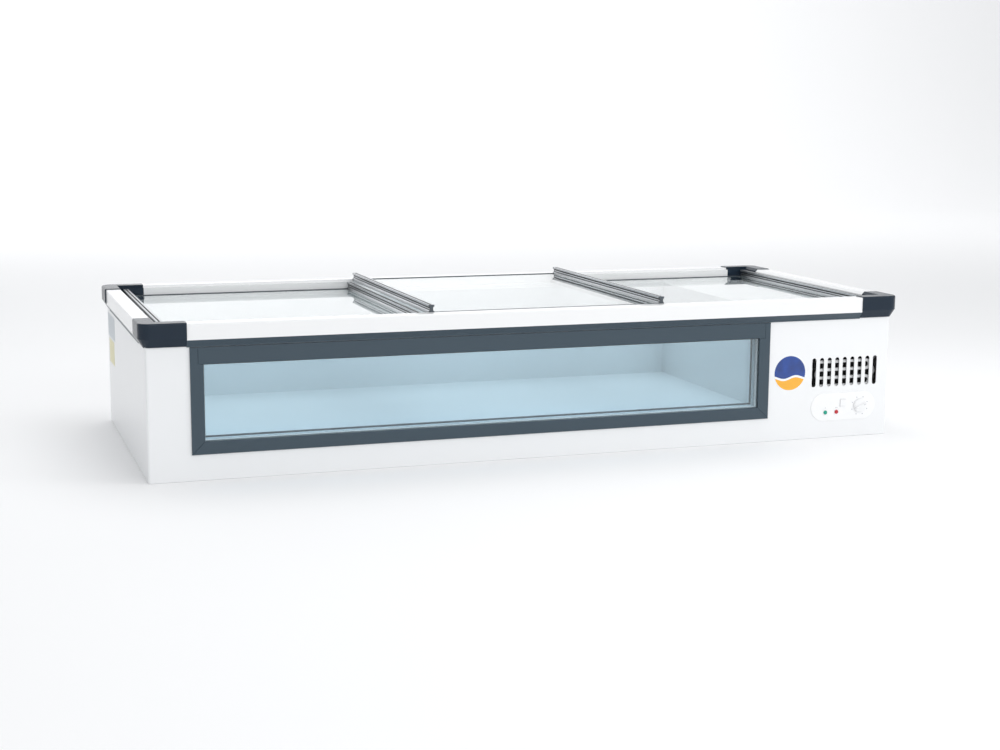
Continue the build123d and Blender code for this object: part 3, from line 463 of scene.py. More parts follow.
def add_block(low, high):
    """A box between two corners, ready to be shaped."""
    clear_selection()
    centre = [(bottom + top) / 2 for bottom, top in zip(low, high)]
    bpy.ops.mesh.primitive_cube_add(size=1.0, location=centre)
    piece = bpy.context.object
    piece.scale = [top - bottom for bottom, top in zip(low, high)]
    bpy.ops.object.transform_apply(location=False, rotation=False, scale=True)
    return piece


def add_disc(centre, radius, depth, axis="Y", sides=64):
    """A round bar centred on a point, ready to be shaped."""
    clear_selection()
    turn = {"X": (0, math.pi / 2, 0), "Y": (math.pi / 2, 0, 0), "Z": (0, 0, 0)}[axis]
    bpy.ops.mesh.primitive_cylinder_add(
        vertices=sides, radius=radius, depth=depth, location=centre, rotation=turn)
    piece = bpy.context.object
    bpy.ops.object.transform_apply(location=False, rotation=True, scale=False)
    return piece


def add_tube(points, radius):
    """A round tube along a line of points."""
    clear_selection()
    line = bpy.data.curves.new("tube", "CURVE")
    line.dimensions = "3D"
    line.bevel_depth = radius
    line.bevel_resolution = 3
    line.use_fill_caps = True
    path = line.splines.new("POLY")
    path.points.add(len(points) - 1)
    for target, point in zip(path.points, points):
        target.co = (*point, 1.0)
    tube = bpy.data.objects.new("tube", line)
    bpy.context.collection.objects.link(tube)
    only(tube)
    bpy.ops.object.convert(target="MESH")
    return bpy.context.object


def join(pieces):
    """Join several objects into the first."""
    clear_selection()
    for piece in pieces:
        piece.select_set(True)
    bpy.context.view_layer.objects.active = pieces[0]
    bpy.ops.object.join()
    return pieces[0]


def copy_piece(piece):
    """A copy with its own mesh, in the same place."""
    twin = piece.copy()
    twin.data = piece.data.copy()
    bpy.context.collection.objects.link(twin)
    return twin


def slice_levels(piece, axis, levels):
    """Cut new edge rings through the whole piece at places along an axis, in its own coordinates."""
    only(piece)
    bpy.ops.object.mode_set(mode="EDIT")
    normal = [1.0 if index == axis else 0.0 for index in range(3)]
    offset = piece.location
    for level in levels:
        point = [0.0, 0.0, 0.0]
        point[axis] = level
        bpy.ops.mesh.select_all(action="SELECT")
        bpy.ops.mesh.bisect(plane_co=Vector(point) + offset, plane_no=normal)
    bpy.ops.object.mode_set(mode="OBJECT")


def squeeze(piece, axis, picks, factor, about=0.0):
    """Scale the vertices that a test picks, along one axis, about a place on it."""
    for vertex in piece.data.vertices:
        if picks(vertex.co):
            vertex.co[axis] = about + (vertex.co[axis] - about) * factor


def dress(finish, *nodes):
    """Give parts of the frame their finish."""
    for node in nodes:
        slots = NODES[node].data.materials
        slots.clear()
        slots.append(FINISH[finish])


# ---- finishes
ALONG_X, ALONG_Y, ALONG_Z = (12.0, 2200.0, 2200.0), (2200.0, 12.0, 2200.0), (2200.0, 2200.0, 12.0)

# For each finish: material name; linear colour, or the name of one that a user can change; roughness,
# colour drift, roughness change, grain scale and grain strength; and what else it has.
SOLID_FINISHES = {
    "paint": ("white_powder_coat", "paint", (0.30, 0.02, 0.05, 900.0, 0.06), {"coat": 0.25}),
    "corner": ("corner_moulding", "corner", (0.22, 0.06, 0.05, 1500.0, 0.03), {"specular": 0.28}),
    "dots": ("ceramic_dots", (0.50, 0.60, 0.62), (0.5, 0.03, 0.06, 600.0, 0.1), {}),
    "rubber": ("black_rubber", (0.012, 0.013, 0.014), (0.6, 0.15, 0.15, 700.0, 0.3), {}),
    # The gasket's dark teal is partly real rubber and partly painted shade along the window pane's edge.
    "gasket": ("gasket_and_edge_shade", (0.03, 0.06, 0.075), (0.5, 0.1, 0.1, 700.0, 0.2), {}),
    "dark": ("dark_moulding", (0.025, 0.027, 0.030), (0.38, 0.08, 0.1, 1200.0, 0.2), {}),
    "liner": ("lacquered_liner", "liner", (0.32, 0.05, 0.1, 260.0, 0.12), {}),
    "reveal": ("window_lining", (0.82, 0.86, 0.87), (0.35, 0.02, 0.05, 900.0, 0.05), {}),
    "foam": ("rigid_foam", (0.80, 0.66, 0.34), (0.9, 0.2, 0.05, 400.0, 0.8), {}),
    "plate": ("control_plate_plastic", (0.88, 0.885, 0.89), (0.28, 0.01, 0.04, 1500.0, 0.03), {}),
    "knob": ("knob_plastic", (0.86, 0.865, 0.87), (0.30, 0.015, 0.05, 1500.0, 0.04), {}),
    "print": ("grey_print", (0.36, 0.38, 0.42), (0.5, 0.03, 0.06, 600.0, 0.1), {}),
    "green": ("green_lens", "green", (0.12, 0.1, 0.02, 300.0, 0.02), {"coat": 0.3}),
    "red": ("red_lens", "red", (0.12, 0.1, 0.02, 300.0, 0.02), {"coat": 0.3}),
    "enamel": ("black_enamel", (0.012, 0.012, 0.013), (0.28, 0.2, 0.12, 500.0, 0.15), {"coat": 0.2}),
    "coil": ("coil_paint", (0.72, 0.73, 0.74), (0.35, 0.15, 0.15, 300.0, 0.2), {"metallic": 0.1}),
    "cap": ("handle_cap", (0.07, 0.085, 0.10), (0.35, 0.05, 0.1, 900.0, 0.1), {}),
    "copper": ("copper_tube", (0.72, 0.30, 0.16), (0.28, 0.35, 0.2, 200.0, 0.15), {"metallic": 1.0}),
    "screw": ("plated_steel", (0.68, 0.68, 0.69), (0.28, 0.1, 0.1, 900.0, 0.1), {"metallic": 1.0}),
}


def build_finishes(colours):
    """Make every finish that the freezer uses."""
    GROUPS["surface_life"] = build_finish_group()
    GROUPS["drawn_lines"] = build_drawn_group()
    GROUPS["cells"] = build_cells_group()
    GROUPS["small_holes"] = build_holes_group()
    for finish, (name, colour, surface, extras) in SOLID_FINISHES.items():
        if isinstance(colour, str):
            colour = getattr(colours, colour)
        FINISH[finish] = solid_finish(name, colour, *surface, **extras)
    for end, name, lines in (("x", "white_rail_long", ALONG_X), ("y", "white_rail_short", ALONG_Y)):
        FINISH[f"rail_{end}"] = drawn_finish(name, colours.rail, 0.16, lines, 0.03, 0.0, 0.015, 0.4)
    for end, name, lines in (("x", "slate_profile_long", ALONG_X), ("z", "slate_profile_upright", ALONG_Z)):
        FINISH[f"slate_{end}"] = drawn_finish(name, colours.slate, 0.30, lines, 0.12, 0.0, 0.10)
    FINISH["handle"] = drawn_finish("anodised_handle", colours.handle, 0.24, ALONG_Y, 0.15)
    FINISH["fins"] = drawn_finish("fin_sheet", (0.05, 0.05, 0.055), 0.45, (60.0, 60.0, 900.0), 0.2, 0.6)
    FINISH["lid_glass"] = clear_finish("lid_glass", colours.glass)
    FINISH["pane"] = clear_finish("window_pane", colours.pane)
    FINISH["spacer"] = spacer_finish("window_spacer", (0.97, 0.98, 0.98))
    FINISH["zinc"] = cell_finish("zinc_sheet", (0.62, 0.64, 0.65), 0.32, 90.0, 0.04, 0.9, 0.22)


class FREEZER_OT_finishes(bpy.types.Operator):
    """Make the finishes: paints, mouldings, metals and glass"""

    bl_idname = "freezer.finishes"
    bl_label = "Finishes"

    def execute(self, context):
        build_finishes(context.scene.freezer_colours)
        return {"FINISHED"}


# ---- cabinet, rim and tub
class FREEZER_OT_cabinet(bpy.types.Operator):
    """Finish the outer sheets, the base, the foam and the liner"""

    bl_idname = "freezer.cabinet"
    bl_label = "Cabinet sheets"

    def execute(self, context):
        dress("paint", "front_panel", "left_panel", "right_panel", "rear_panel")
        dress("zinc", "base_panel")
        dress("foam", *(f"insulation_{part}" for part in ("floor", "rear", "ends", "deck", "front")))
        dress("liner", "inner_liner")
        return {"FINISHED"}


class FREEZER_OT_rim(bpy.types.Operator):
    """Finish the rim: white rails, slate corner mouldings and the skirt below them"""

    bl_idname = "freezer.rim"
    bl_label = "Rim"

    def execute(self, context):
        dress("rail_x", "front_rail", "rear_rail")
        dress("rail_y", "left_rail", "right_rail")
        dress("corner", *(f"corner_{end}_{side}" for end in ("front", "rear") for side in ("left", "right")))
        dress("slate_x", "rim_skirts")
        return {"FINISHED"}


class FREEZER_OT_window(bpy.types.Operator):
    """Finish the display window: slate frame, panes, spacers, seals and lining"""

    bl_idname = "freezer.window"
    bl_label = "Display window"

    def execute(self, context):
        dress("slate_x", "window_frame_top", "window_frame_bottom")
        dress("slate_z", "window_frame_left", "window_frame_right")
        dress("pane", "window_pane_outer", "window_pane_middle", "window_pane_inner")
        dress("spacer", "window_spacers")
        dress("rubber", "window_seals")
        dress("reveal", "window_reveal")
        self.gasket()
        return {"FINISHED"}

    def gasket(self):
        """A dark rubber line round the opening, just behind the inner pane: partly a real gasket, partly
        painted shade, its dark teal painting the shadow line at the pane's edge.
        """
        low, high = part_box("window_pane_inner")
        rim = 12 * MM
        width, depth = 5 * MM, 2 * MM
        near, far = high[1], high[1] + depth
        left, right = low[0] + rim, high[0] - rim
        bottom, top = low[2] + rim, high[2] - rim
        bars = [add_block((left, near, bottom), (right, far, bottom + width)),
                add_block((left, near, top - width), (right, far, top)),
                add_block((left, near, bottom + width), (left + width, far, top - width)),
                add_block((right - width, near, bottom + width), (right, far, top - width))]
        gasket = join(bars)
        round_edges(gasket, 0.6 * MM, 2)
        smooth(gasket, 40)
        settle(gasket, "window_gasket_and_edge_shade", "cabinet", FINISH["gasket"])


# ---- lids
HANDLE_WIDTH = 14 * MM
HANDLE_HEIGHT = 19 * MM
NECK_LOW, NECK_HIGH = 5 * MM, 13 * MM
FOOT_TOP, HEAD_LOW = 3 * MM, 15 * MM
NECK_STEP = 3 * MM
LIP = 2 * MM
GLASS = 4 * MM
# Heights of the dark strips that paint the shade in a handle's top groove and along its neck.
TOP_SHADE_STRIP = 4.4 * MM
LOW_SHADE_STRIP, HIGH_SHADE_STRIP = 2.2 * MM, 2.8 * MM


def shape_handle(half_length, rib):
    """A lid handle along Y, its outer lower edge at the origin: foot, neck, head and fine ribs."""
    piece = add_block((0, -half_length, 0), (HANDLE_WIDTH, half_length, HANDLE_HEIGHT))
    fix_place(piece)
    ribs = [FOOT_TOP * step / 6 for step in range(1, 6)]
    head_lines = [HEAD_LOW + (HANDLE_HEIGHT - HEAD_LOW) * step / 4 for step in (1, 2)]
    slice_levels(piece, 2, ribs + [FOOT_TOP, NECK_LOW, NECK_HIGH, HEAD_LOW] + head_lines)
    top_lines = [HANDLE_WIDTH * share for share in (0.30, 0.36, 0.64, 0.70)]
    slice_levels(piece, 0, top_lines)
    middle = HANDLE_WIDTH / 2
    near = 0.05 * MM
    neck = (middle - NECK_STEP) / middle

    def on_side(place):
        return abs(abs(place.x - middle) - middle) < near

    squeeze(piece, 0, lambda co: on_side(co) and NECK_LOW - near < co.z < NECK_HIGH + near, neck, middle)
    grooves = ribs[::2] + head_lines[:1]
    squeeze(piece, 0, lambda co: on_side(co) and min(abs(co.z - level) for level in grooves) < near,
            (middle - rib) / middle, middle)
    for vertex in piece.data.vertices:
        inner_line = abs(vertex.co.x - top_lines[1]) < near or abs(vertex.co.x - top_lines[2]) < near
        if inner_line and vertex.co.z > HANDLE_HEIGHT - near:
            vertex.co.z -= rib
    round_edges(piece, 0.25 * MM, 2, 40)
    return piece


def end_lip(half_length):
    """The lip of a handle that closes the glass edge."""
    piece = add_block((0, -half_length, -GLASS), (LIP, half_length, 0))
    fix_place(piece)
    round_edges(piece, 0.3 * MM, 2)
    return piece


def handle_shade_strips(half_length):
    """Painted shade: dark strips that fill a handle's top groove and line its neck, where shade falls in the
    groove and under the head.
    """
    middle = HANDLE_WIDTH / 2
    reach = middle - NECK_STEP + 0.25 * MM
    levels = ((TOP_SHADE_STRIP / 2, HANDLE_HEIGHT - 0.6 * MM, HANDLE_HEIGHT - 0.05 * MM),
              (reach, NECK_LOW, NECK_LOW + LOW_SHADE_STRIP),
              (reach, NECK_HIGH - HIGH_SHADE_STRIP, NECK_HIGH))
    strips = join([add_block((middle - side, -half_length, low), (middle + side, half_length, high))
                   for side, low, high in levels])
    fix_place(strips)
    round_edges(strips, 0.15 * MM, 1)
    return strips


def dot_band(low, high, level, pitch, radius):
    """Printed dots in a rectangle: one small flat dot, repeated across and along."""
    count_x, count_y = [max(1, int((far - near) / pitch)) for near, far in zip(low, high)]
    start_x = (low[0] + high[0] - (count_x - 1) * pitch) / 2
    start_y = (low[1] + high[1] - (count_y - 1) * pitch) / 2
    dot = add_disc((start_x, start_y, level), radius, 0.08 * MM, "Z", 8)
    repeat(dot, count_x, (pitch, 0, 0))
    repeat(dot, count_y, (0, pitch, 0))
    return dot


class FREEZER_OT_lids(bpy.types.Operator):
    """Build the lids' ribbed handles and printed dots, and finish their glass and trim"""

    bl_idname = "freezer.lids"
    bl_label = "Sliding lids"

    def execute(self, context):
        sizes = context.scene.freezer_sizes
        for lid in LIDS:
            dress("lid_glass", f"{lid}_glass")
            dress("cap", f"{lid}_trim")
            self.handles(lid, sizes.rib_depth)
            self.edge_strips(lid)
            self.dots(lid, sizes)
        return {"FINISHED"}

    def between_handles(self, lid):
        """The glass between a lid's handles, as its lowest and highest corners."""
        low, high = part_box(f"{lid}_glass")
        handles_low, handles_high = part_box(f"{lid}_handles")
        return ((handles_low[0] + HANDLE_WIDTH, low[1], low[2]),
                (handles_high[0] - HANDLE_WIDTH, high[1], high[2]))

    def handles(self, lid, rib):
        """One handle with its painted shade strips, shaped once, and its copy turned to the other end."""
        low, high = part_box(f"{lid}_handles")
        half_length = (high[1] - low[1]) / 2
        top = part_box(f"{lid}_glass")[1][2]
        handle = join([shape_handle(half_length, rib), end_lip(half_length)])
        smooth(handle, 25)
        strips = handle_shade_strips(half_length)
        twins = copy_piece(handle), copy_piece(strips)
        ends = (("left", low[0], 0.0, (handle, strips)), ("right", high[0], math.pi, twins))
        for side, edge, turn, parts in ends:
            for part in parts:
                part.rotation_euler = (0, 0, turn)
                part.location = (edge, 0, top)
            settle(parts[0], f"{lid}_{side}_handle", lid, FINISH["handle"], (f"{lid}_handles",))
            # These dark strips are painted shade, given the black rubber finish.
            settle(parts[1], f"{lid}_{side}_strips", lid, FINISH["rubber"])

    def edge_strips(self, lid):
        """A dark cushion strip on the glass along the lid's front and rear edges."""
        low, high = self.between_handles(lid)
        width, height = 6 * MM, 1.5 * MM
        strips = join([add_block((low[0], near, high[2]), (high[0], near + width, high[2] + height))
                       for near in (low[1], high[1] - width)])
        round_edges(strips, 0.5 * MM, 2)
        smooth(strips, 40)
        settle(strips, f"{lid}_edge_strips", lid, FINISH["cap"])

    def dots(self, lid, sizes):
        """Bands of ceramic dots under the glass along its four edges."""
        low, high = self.between_handles(lid)
        edge = 2 * MM
        band = sizes.dot_rows * sizes.dot_pitch
        level = low[2] - 0.06 * MM
        left, right, front, rear = low[0] + edge, high[0] - edge, low[1] + edge, high[1] - edge
        bands = [((left, front), (right, front + band)), ((left, rear - band), (right, rear)),
                 ((left, front + band), (left + band, rear - band)),
                 ((right - band, front + band), (right, rear - band))]
        dots = join([dot_band(near, far, level, sizes.dot_pitch, sizes.dot_radius) for near, far in bands])
        settle(dots, f"{lid}_dots", lid, FINISH["dots"])


# ---- controls
KNOB_SKIRT = 3 * MM
KNOB_BAR = 7.5 * MM
FLUTE_DEPTH = 0.5 * MM
DIAL_TILT = 22.0
DIAL_MARKS = 8
LAMP_BAR = 2.8 * MM


class FREEZER_OT_controls(bpy.types.Operator):
    """Build the fluted thermostat knob and the dial marks, and finish the plate, lamps and button"""

    bl_idname = "freezer.controls"
    bl_label = "Controls"

    def execute(self, context):
        dress("plate", "control_plate", "thermostat_body")
        dress("green", "green_lamp")
        dress("red", "red_lamp")
        dress("knob", "fast_freeze_button")
        dress("dark", "button_switch")
        self.knob(context.scene.freezer_sizes.knob_flutes)
        self.marks()
        return {"FINISHED"}

    def knob(self, flutes):
        """A fluted skirt, a shallow crown and a tapered grip bar with a pointer line."""
        low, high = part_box("thermostat_knob")
        centre_x, centre_z = (low[0] + high[0]) / 2, (low[2] + high[2]) / 2
        radius = (high[0] - low[0]) / 2
        skirt_front = high[1] - KNOB_SKIRT
        middle = (centre_x, (high[1] + skirt_front) / 2, centre_z)
        skirt = add_disc(middle, radius, KNOB_SKIRT, "Y", flutes * 4)
        for vertex in skirt.data.vertices:
            turn = math.atan2(vertex.co.z, vertex.co.x)
            dip = max(0.0, math.cos(turn * flutes)) * FLUTE_DEPTH
            out = math.hypot(vertex.co.x, vertex.co.z)
            if out > radius / 2:
                vertex.co.x *= (out - dip) / out
                vertex.co.z *= (out - dip) / out
        crown = add_disc((centre_x, skirt_front - 0.5 * MM, centre_z), radius - 2.5 * MM, 1.6 * MM, "Y", 72)
        for part in (skirt, crown):
            round_edges(part, 0.6 * MM, 3, 50)
        length, width = 2 * radius - 3.2 * MM, KNOB_BAR
        bar = add_block((-length / 2, low[1], -width / 2), (length / 2, skirt_front, width / 2))
        fix_place(bar)
        slice_levels(bar, 0, [length * share for share in (-0.35, -0.2, 0.2, 0.35)])
        squeeze(bar, 2, lambda co: co.y < low[1] + 0.1 * MM, 0.62)
        squeeze(bar, 2, lambda co: abs(co.x) > length * 0.4, 0.7)
        squeeze(bar, 2, lambda co: abs(co.x) < length * 0.25, 0.86)
        round_edges(bar, 1.1 * MM, 4, 35)
        pointer = add_block((length * 0.22, low[1], -0.45 * MM),
                            (length * 0.44, low[1] + 0.6 * MM, 0.45 * MM))
        fix_place(pointer)
        for part, proud in ((bar, 0.0), (pointer, 0.05 * MM)):
            part.rotation_euler = (0, math.radians(-DIAL_TILT), 0)
            part.location = (centre_x, -proud, centre_z)
        knob = join([skirt, crown, bar])
        smooth(knob, 32)
        settle(knob, "fluted_knob", "knob", FINISH["knob"], ("thermostat_knob",))
        settle(pointer, "knob_pointer", "knob", FINISH["print"])

    def marks(self):
        """Eight dots round the knob and a short bar over each lamp."""
        low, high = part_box("thermostat_knob")
        plate_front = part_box("control_plate")[0][1]
        centre_x, centre_z = (low[0] + high[0]) / 2, (low[2] + high[2]) / 2
        reach = (high[0] - low[0]) / 2 + 6 * MM
        marks = []
        for step in range(DIAL_MARKS):
            turn = math.radians(DIAL_TILT + 360.0 / DIAL_MARKS * step)
            x, z = centre_x + reach * math.cos(turn), centre_z + reach * math.sin(turn)
            marks.append(add_disc((x, plate_front - 0.1 * MM, z), 1.3 * MM, 0.3 * MM, "Y", 20))
        for lamp, count in (("green_lamp", 1), ("red_lamp", 2)):
            lamp_low, lamp_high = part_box(lamp)
            bottom = lamp_high[2] + 6 * MM
            for index in range(count):
                left = (lamp_low[0] + lamp_high[0] - LAMP_BAR) / 2 + (index - (count - 1) / 2) * 4 * MM
                marks.append(add_block((left, plate_front - 0.2 * MM, bottom),
                                       (left + LAMP_BAR, plate_front + 0.1 * MM, bottom + LAMP_BAR / 2)))
        group = join(marks)
        round_edges(group, 0.08 * MM, 1)
        settle(group, "dial_marks", "cabinet", FINISH["print"])


# ---- labels
# Name, reach from front to rear and from bottom to top in mm, and paper colour.
SIDE_PAPERS = (("grey_label", (240, 398), (247, 309), (0.66, 0.70, 0.73)),
               ("yellow_label", (262, 378), (175, 240), (0.84, 0.80, 0.55)))


class FREEZER_OT_labels(bpy.types.Operator):
    """Stick on the round front label and two plain labels on the left side"""

    bl_idname = "freezer.labels"
    bl_label = "Labels"

    def execute(self, context):
        colours = context.scene.freezer_colours
        low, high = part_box("round_label")
        centre = [(a + b) / 2 for a, b in zip(low, high)]
        radius = (high[0] - low[0]) / 2
        film = label_finish("round_label_print", colours.label_top, colours.label_low, centre, radius)
        disc = add_disc(centre, radius, high[1] - low[1], "Y", 128)
        only(disc)
        bpy.ops.object.mode_set(mode="EDIT")
        bpy.ops.mesh.select_all(action="DESELECT")
        bpy.ops.object.mode_set(mode="OBJECT")
        for face in disc.data.polygons:
            face.select = face.normal.y < -0.9
        bpy.ops.object.mode_set(mode="EDIT")
        bpy.ops.mesh.inset(thickness=1.2 * MM)
        bpy.ops.transform.translate(value=(0, -0.12 * MM, 0))
        bpy.ops.object.mode_set(mode="OBJECT")
        smooth(disc, 30)
        settle(disc, "round_print", "cabinet", film, ("round_label",))
        self.side_labels()
        return {"FINISHED"}

    def side_labels(self):
        """Two plain paper labels near the rear of the left side."""
        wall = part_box("left_panel")[0][0]
        for name, (near, far), (bottom, top), colour in SIDE_PAPERS:
            paper = add_block((wall - 0.25 * MM, near * MM, bottom * MM), (wall, far * MM, top * MM))
            slice_levels(paper, 2, [(top - bottom) * MM * share for share in (-0.25, 0.0, 0.25)])
            round_edges(paper, 0.08 * MM, 2)
            finish = solid_finish(f"{name}_paper", colour, 0.55, 0.10, 0.1, 500.0, 0.15)
            settle(paper, name, "cabinet", finish)


# ---- machinery and rear
COIL_RADIUS, COIL_PITCH, COIL_ROWS = 4.5 * MM, 22 * MM, 7
COIL_MARGIN = 24 * MM
BEND_STEPS = 12

LOUVRES, LOUVRE_PITCH = 14, 14 * MM
LOUVRES_X, LOUVRES_Z = 864.8 * MM, 180 * MM
LOUVRE_LENGTH, LOUVRE_HEIGHT = 184 * MM, 6.5 * MM

SCREW_COLUMN = 330 * MM
CROSS_LENGTH, CROSS_WIDTH = 4.4 * MM, 1.0 * MM

NUT_RADIUS, NUT_HEIGHT = 13 * MM, 5 * MM
DOME_RADIUS, DOME_HEIGHT = 8 * MM, 12 * MM
CABLE_HOLE_RADIUS = 4.2 * MM


class FREEZER_OT_machinery(bpy.types.Operator):
    """Finish the cooling machinery in the end compartment"""

    bl_idname = "freezer.machinery"
    bl_label = "Machinery"

    def execute(self, context):
        dress("enamel", "compressor", "fan_motor")
        dress("rubber", "compressor_mounts")
        dress("dark", "relay_box", "fan_blade")
        dress("fins", "condenser_fins")
        dress("coil", "condenser_tubes")
        dress("zinc", "fan_shroud")
        dress("copper", "filter_drier", "refrigerant_pipes", "evaporator_coil")
        self.front_coil()
        return {"FINISHED"}

    def front_coil(self):
        """The condenser's front run: a tube that goes to and fro behind the vent slots."""
        low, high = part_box("condenser_fins")
        depth = low[1] - COIL_RADIUS - 1.2 * MM
        left, right = low[0] + COIL_MARGIN, high[0] - COIL_MARGIN
        bend = COIL_PITCH / 2
        points = []
        for row in range(COIL_ROWS):
            height = low[2] + bend + row * COIL_PITCH
            ends, outward = ((left, right), 1) if row % 2 == 0 else ((right, left), -1)
            points += [(x, depth, height) for x in ends]
            if row < COIL_ROWS - 1:
                for step in range(1, BEND_STEPS):
                    turn = math.pi * step / BEND_STEPS
                    points.append((ends[1] + outward * bend * math.sin(turn), depth,
                                   height + bend * (1 - math.cos(turn))))
        coil = add_tube(points, COIL_RADIUS)
        smooth(coil, 40)
        settle(coil, "condenser_front_coil", "cabinet", FINISH["coil"])


class FREEZER_OT_rear(bpy.types.Operator):
    """Build the rear louvre hoods, the screws' cross recesses and the cable gland's nut"""

    bl_idname = "freezer.rear"
    bl_label = "Rear details"

    def execute(self, context):
        self.louvres(context.scene.freezer_sizes.louvre_proud)
        self.screws()
        self.gland()
        return {"FINISHED"}

    def louvres(self, proud):
        """A pressed hood over each slot in the rear panel."""
        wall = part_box("rear_panel")[1][1]
        bottom = LOUVRES_Z - (LOUVRES - 1) / 2 * LOUVRE_PITCH + 1 * MM
        left = LOUVRES_X - LOUVRE_LENGTH / 2
        hood = add_block((left, wall, bottom), (left + LOUVRE_LENGTH, wall + proud, bottom + LOUVRE_HEIGHT))
        squeeze(hood, 1, lambda co: co.z > 0, 0.25, -proud / 2)
        squeeze(hood, 0, lambda co: co.z > 0, 0.985)
        round_edges(hood, 1.2 * MM, 3, 50)
        repeat(hood, LOUVRES, (0, 0, LOUVRE_PITCH))
        smooth(hood, 35)
        settle(hood, "rear_louvres", "cabinet", FINISH["paint"])

    def screws(self):
        """Pan heads with a cross recess: one is shaped, and copied to each screw in the rear panel."""
        low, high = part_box("panel_screws")
        reach = 4 * MM
        first, last = low[0] + reach, high[0] - reach
        rows = (low[2] + reach, high[2] - reach)
        head = add_disc((first, (low[1] + high[1]) / 2, rows[0]), reach, high[1] - low[1], "Y", 32)
        round_edges(head, 1.0 * MM, 3, 50)
        for length, width in ((CROSS_LENGTH, CROSS_WIDTH), (CROSS_WIDTH, CROSS_LENGTH)):
            cutter = add_block((first - length / 2, high[1] - 1 * MM, rows[0] - width / 2),
                               (first + length / 2, high[1] + 1 * MM, rows[0] + width / 2))
            cut(head, cutter)
            bpy.data.objects.remove(cutter)
        heads = []
        for x in (first, -SCREW_COLUMN, SCREW_COLUMN, last):
            for z in rows:
                twin = copy_piece(head)
                twin.location.x, twin.location.z = x, z
                heads.append(twin)
        bpy.data.objects.remove(head)
        group = join(heads)
        smooth(group, 35)
        settle(group, "cross_head_screws", "cabinet", FINISH["screw"], ("panel_screws",))

    def gland(self):
        """A hexagonal nut and a ringed dome round the cable hole."""
        low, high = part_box("cable_gland")
        centre_x, centre_z = (low[0] + high[0]) / 2, (low[2] + high[2]) / 2
        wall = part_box("rear_panel")[1][1]
        nut = add_disc((centre_x, wall + NUT_HEIGHT / 2, centre_z), NUT_RADIUS, NUT_HEIGHT, "Y", 6)
        round_edges(nut, 0.8 * MM, 2)
        middle = (centre_x, wall + DOME_HEIGHT / 2, centre_z)
        dome = add_disc(middle, DOME_RADIUS, DOME_HEIGHT, "Y", 48)
        round_edges(dome, 1.6 * MM, 3, 50)
        bore = add_disc(middle, CABLE_HOLE_RADIUS, 40 * MM, "Y", 48)
        for part in (nut, dome):
            cut(part, bore)
        bpy.data.objects.remove(bore)
        gland = join([nut, dome])
        smooth(gland, 35)
        settle(gland, "gland_nut", "cabinet", FINISH["dark"], ("cable_gland",))


# ---- stage
CAMERA_PLACE = (-1.463, -4.249, 0.911)
CAMERA_TURN = 19.22
CAMERA_DIP = 9.66
CAMERA_ROLL = 0.40
LENS = 59.17
ROOM_LIGHT = 0.70
BACKDROP = 0.93


# Lamp name, place, point it looks at, width and depth in metres, and power in watts.
LAMPS = (("front_light", (0.6, -5.2, 2.6), (0, 0, 0.2), (4.5, 2.0), 64.0),
         ("top_light", (0.3, 0.2, 3.3), (0, 0, 0.1), (5.0, 2.0), 50.0),
         ("right_light", (3.6, -2.6, 1.7), (0.6, -0.3, 0.3), (1.6, 1.6), 24.0),
         ("backdrop_light", (1.0, 6.0, 5.5), (2.0, 10.0, 2.2), (12.0, 1.5), 240.0))
FLOOR_REACH, FLOOR_DEPTH, FLOOR_MIDDLE = 20.0, 15.0, -5.0
BACKDROP_HEIGHT, BACKDROP_BEND = 9.0, 3.0


def area_light(name, place, aim, size, power):
    """A soft rectangular lamp that looks at a point."""
    data = bpy.data.lights.new(name, "AREA")
    data.shape = "RECTANGLE"
    data.size, data.size_y = size
    data.energy = power
    lamp = bpy.data.objects.new(name, data)
    bpy.context.collection.objects.link(lamp)
    lamp.location = place
    lamp.rotation_euler = (Vector(aim) - Vector(place)).to_track_quat("-Z", "Y").to_euler()


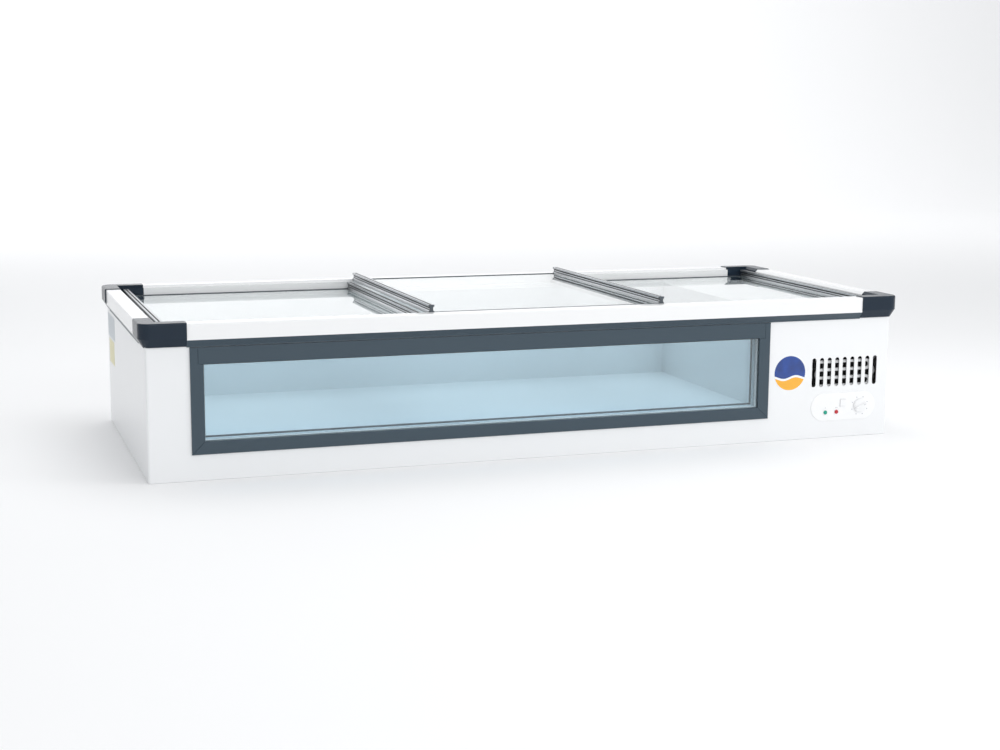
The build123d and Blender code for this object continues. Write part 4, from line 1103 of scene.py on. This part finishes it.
class FREEZER_OT_stage(bpy.types.Operator):
    """Set the pale floor, the studio light and the camera"""

    bl_idname = "freezer.stage"
    bl_label = "Stage"

    def execute(self, context):
        scene = context.scene
        scene.view_settings.view_transform = "Standard"
        scene.world = bpy.data.worlds.new("studio")
        scene.world.use_nodes = True
        tree = scene.world.node_tree
        room = tree.nodes["Background"]
        backdrop = tree.nodes.new("ShaderNodeBackground")
        choice = tree.nodes.new("ShaderNodeMixShader")
        feed(tree, (0.97, 0.985, 1.0, 1.0), room.inputs["Color"])
        feed(tree, ROOM_LIGHT, room.inputs["Strength"])
        feed(tree, (1.0, 1.0, 1.0, 1.0), backdrop.inputs["Color"])
        feed(tree, BACKDROP, backdrop.inputs["Strength"])
        feed(tree, tree.nodes.new("ShaderNodeLightPath").outputs["Is Camera Ray"], choice.inputs["Fac"])
        feed(tree, room.outputs["Background"], choice.inputs[1])
        feed(tree, backdrop.outputs["Background"], choice.inputs[2])
        feed(tree, choice.outputs["Shader"], tree.nodes["World Output"].inputs["Surface"])
        self.floor()
        for lamp in LAMPS:
            area_light(*lamp)
        camera = bpy.data.objects.new("camera", bpy.data.cameras.new("camera"))
        context.collection.objects.link(camera)
        camera.data.lens = LENS
        camera.data.sensor_width = 36.0
        turn = Matrix.Rotation(-math.radians(CAMERA_TURN), 4, "Z")
        dip = Matrix.Rotation(math.radians(90.0 - CAMERA_DIP), 4, "X")
        roll = Matrix.Rotation(math.radians(CAMERA_ROLL), 4, "Z")
        camera.matrix_world = Matrix.Translation(CAMERA_PLACE) @ turn @ dip @ roll
        scene.camera = camera
        return {"FINISHED"}

    def floor(self):
        """A pale floor that curves up into a backdrop behind the freezer."""
        clear_selection()
        bpy.ops.mesh.primitive_plane_add(size=2.0, location=(0, FLOOR_MIDDLE, -0.5 * MM))
        floor = bpy.context.object
        floor.scale = (FLOOR_REACH, FLOOR_DEPTH, 1.0)
        bpy.ops.object.transform_apply(location=True, rotation=False, scale=True)
        far = FLOOR_MIDDLE + FLOOR_DEPTH
        for vertex in floor.data.vertices:
            vertex.select = vertex.co.y > far - MM
        for edge in floor.data.edges:
            edge.select = all(floor.data.vertices[index].select for index in edge.vertices)
        for face in floor.data.polygons:
            face.select = False
        bpy.ops.object.mode_set(mode="EDIT")
        bpy.ops.mesh.select_mode(type="EDGE")
        bpy.ops.mesh.extrude_region_move(TRANSFORM_OT_translate={"value": (0, 0, BACKDROP_HEIGHT)})
        bpy.ops.object.mode_set(mode="OBJECT")
        round_edges(floor, BACKDROP_BEND, 24)
        smooth(floor, 60)
        floor.name = "studio_floor"
        paper = solid_finish("pale_floor", (0.93, 0.93, 0.935), 0.85, 0.005, 0.05, 50.0, 0.02)
        floor.data.materials.append(paper)


# ---- panel and registration
STEPS = (FREEZER_OT_finishes, FREEZER_OT_stage, FREEZER_OT_cabinet, FREEZER_OT_rim, FREEZER_OT_window,
         FREEZER_OT_lids, FREEZER_OT_controls, FREEZER_OT_labels, FREEZER_OT_machinery, FREEZER_OT_rear)


class FREEZER_PT_panel(bpy.types.Panel):
    """Steps and settings of the chest freezer"""

    bl_label = "Chest freezer"
    bl_idname = "FREEZER_PT_panel"
    bl_space_type = "VIEW_3D"
    bl_region_type = "UI"
    bl_category = "Freezer"

    def draw(self, context):
        for settings in (context.scene.freezer_sizes, context.scene.freezer_colours):
            box = self.layout.box()
            for label in settings.__annotations__:
                box.prop(settings, label)
        for step in STEPS:
            self.layout.operator(step.bl_idname)


CLASSES = (FreezerSizes, FreezerColours, *STEPS, FREEZER_PT_panel)


def register():
    """Register the add-on's classes and settings."""
    for item in CLASSES:
        bpy.utils.register_class(item)
    bpy.types.Scene.freezer_sizes = bpy.props.PointerProperty(type=FreezerSizes)
    bpy.types.Scene.freezer_colours = bpy.props.PointerProperty(type=FreezerColours)


def unregister():
    """Remove the add-on's classes and settings."""
    del bpy.types.Scene.freezer_colours
    del bpy.types.Scene.freezer_sizes
    for item in reversed(CLASSES):
        bpy.utils.unregister_class(item)


def main():
    """Build the freezer step by step."""
    register()
    bpy.ops.freezer.finishes()
    bpy.ops.freezer.stage()
    bpy.ops.freezer.cabinet()
    bpy.ops.freezer.rim()
    bpy.ops.freezer.window()
    bpy.ops.freezer.lids()
    bpy.ops.freezer.controls()
    bpy.ops.freezer.labels()
    bpy.ops.freezer.machinery()
    bpy.ops.freezer.rear()


if __name__ == "__main__":
    main()
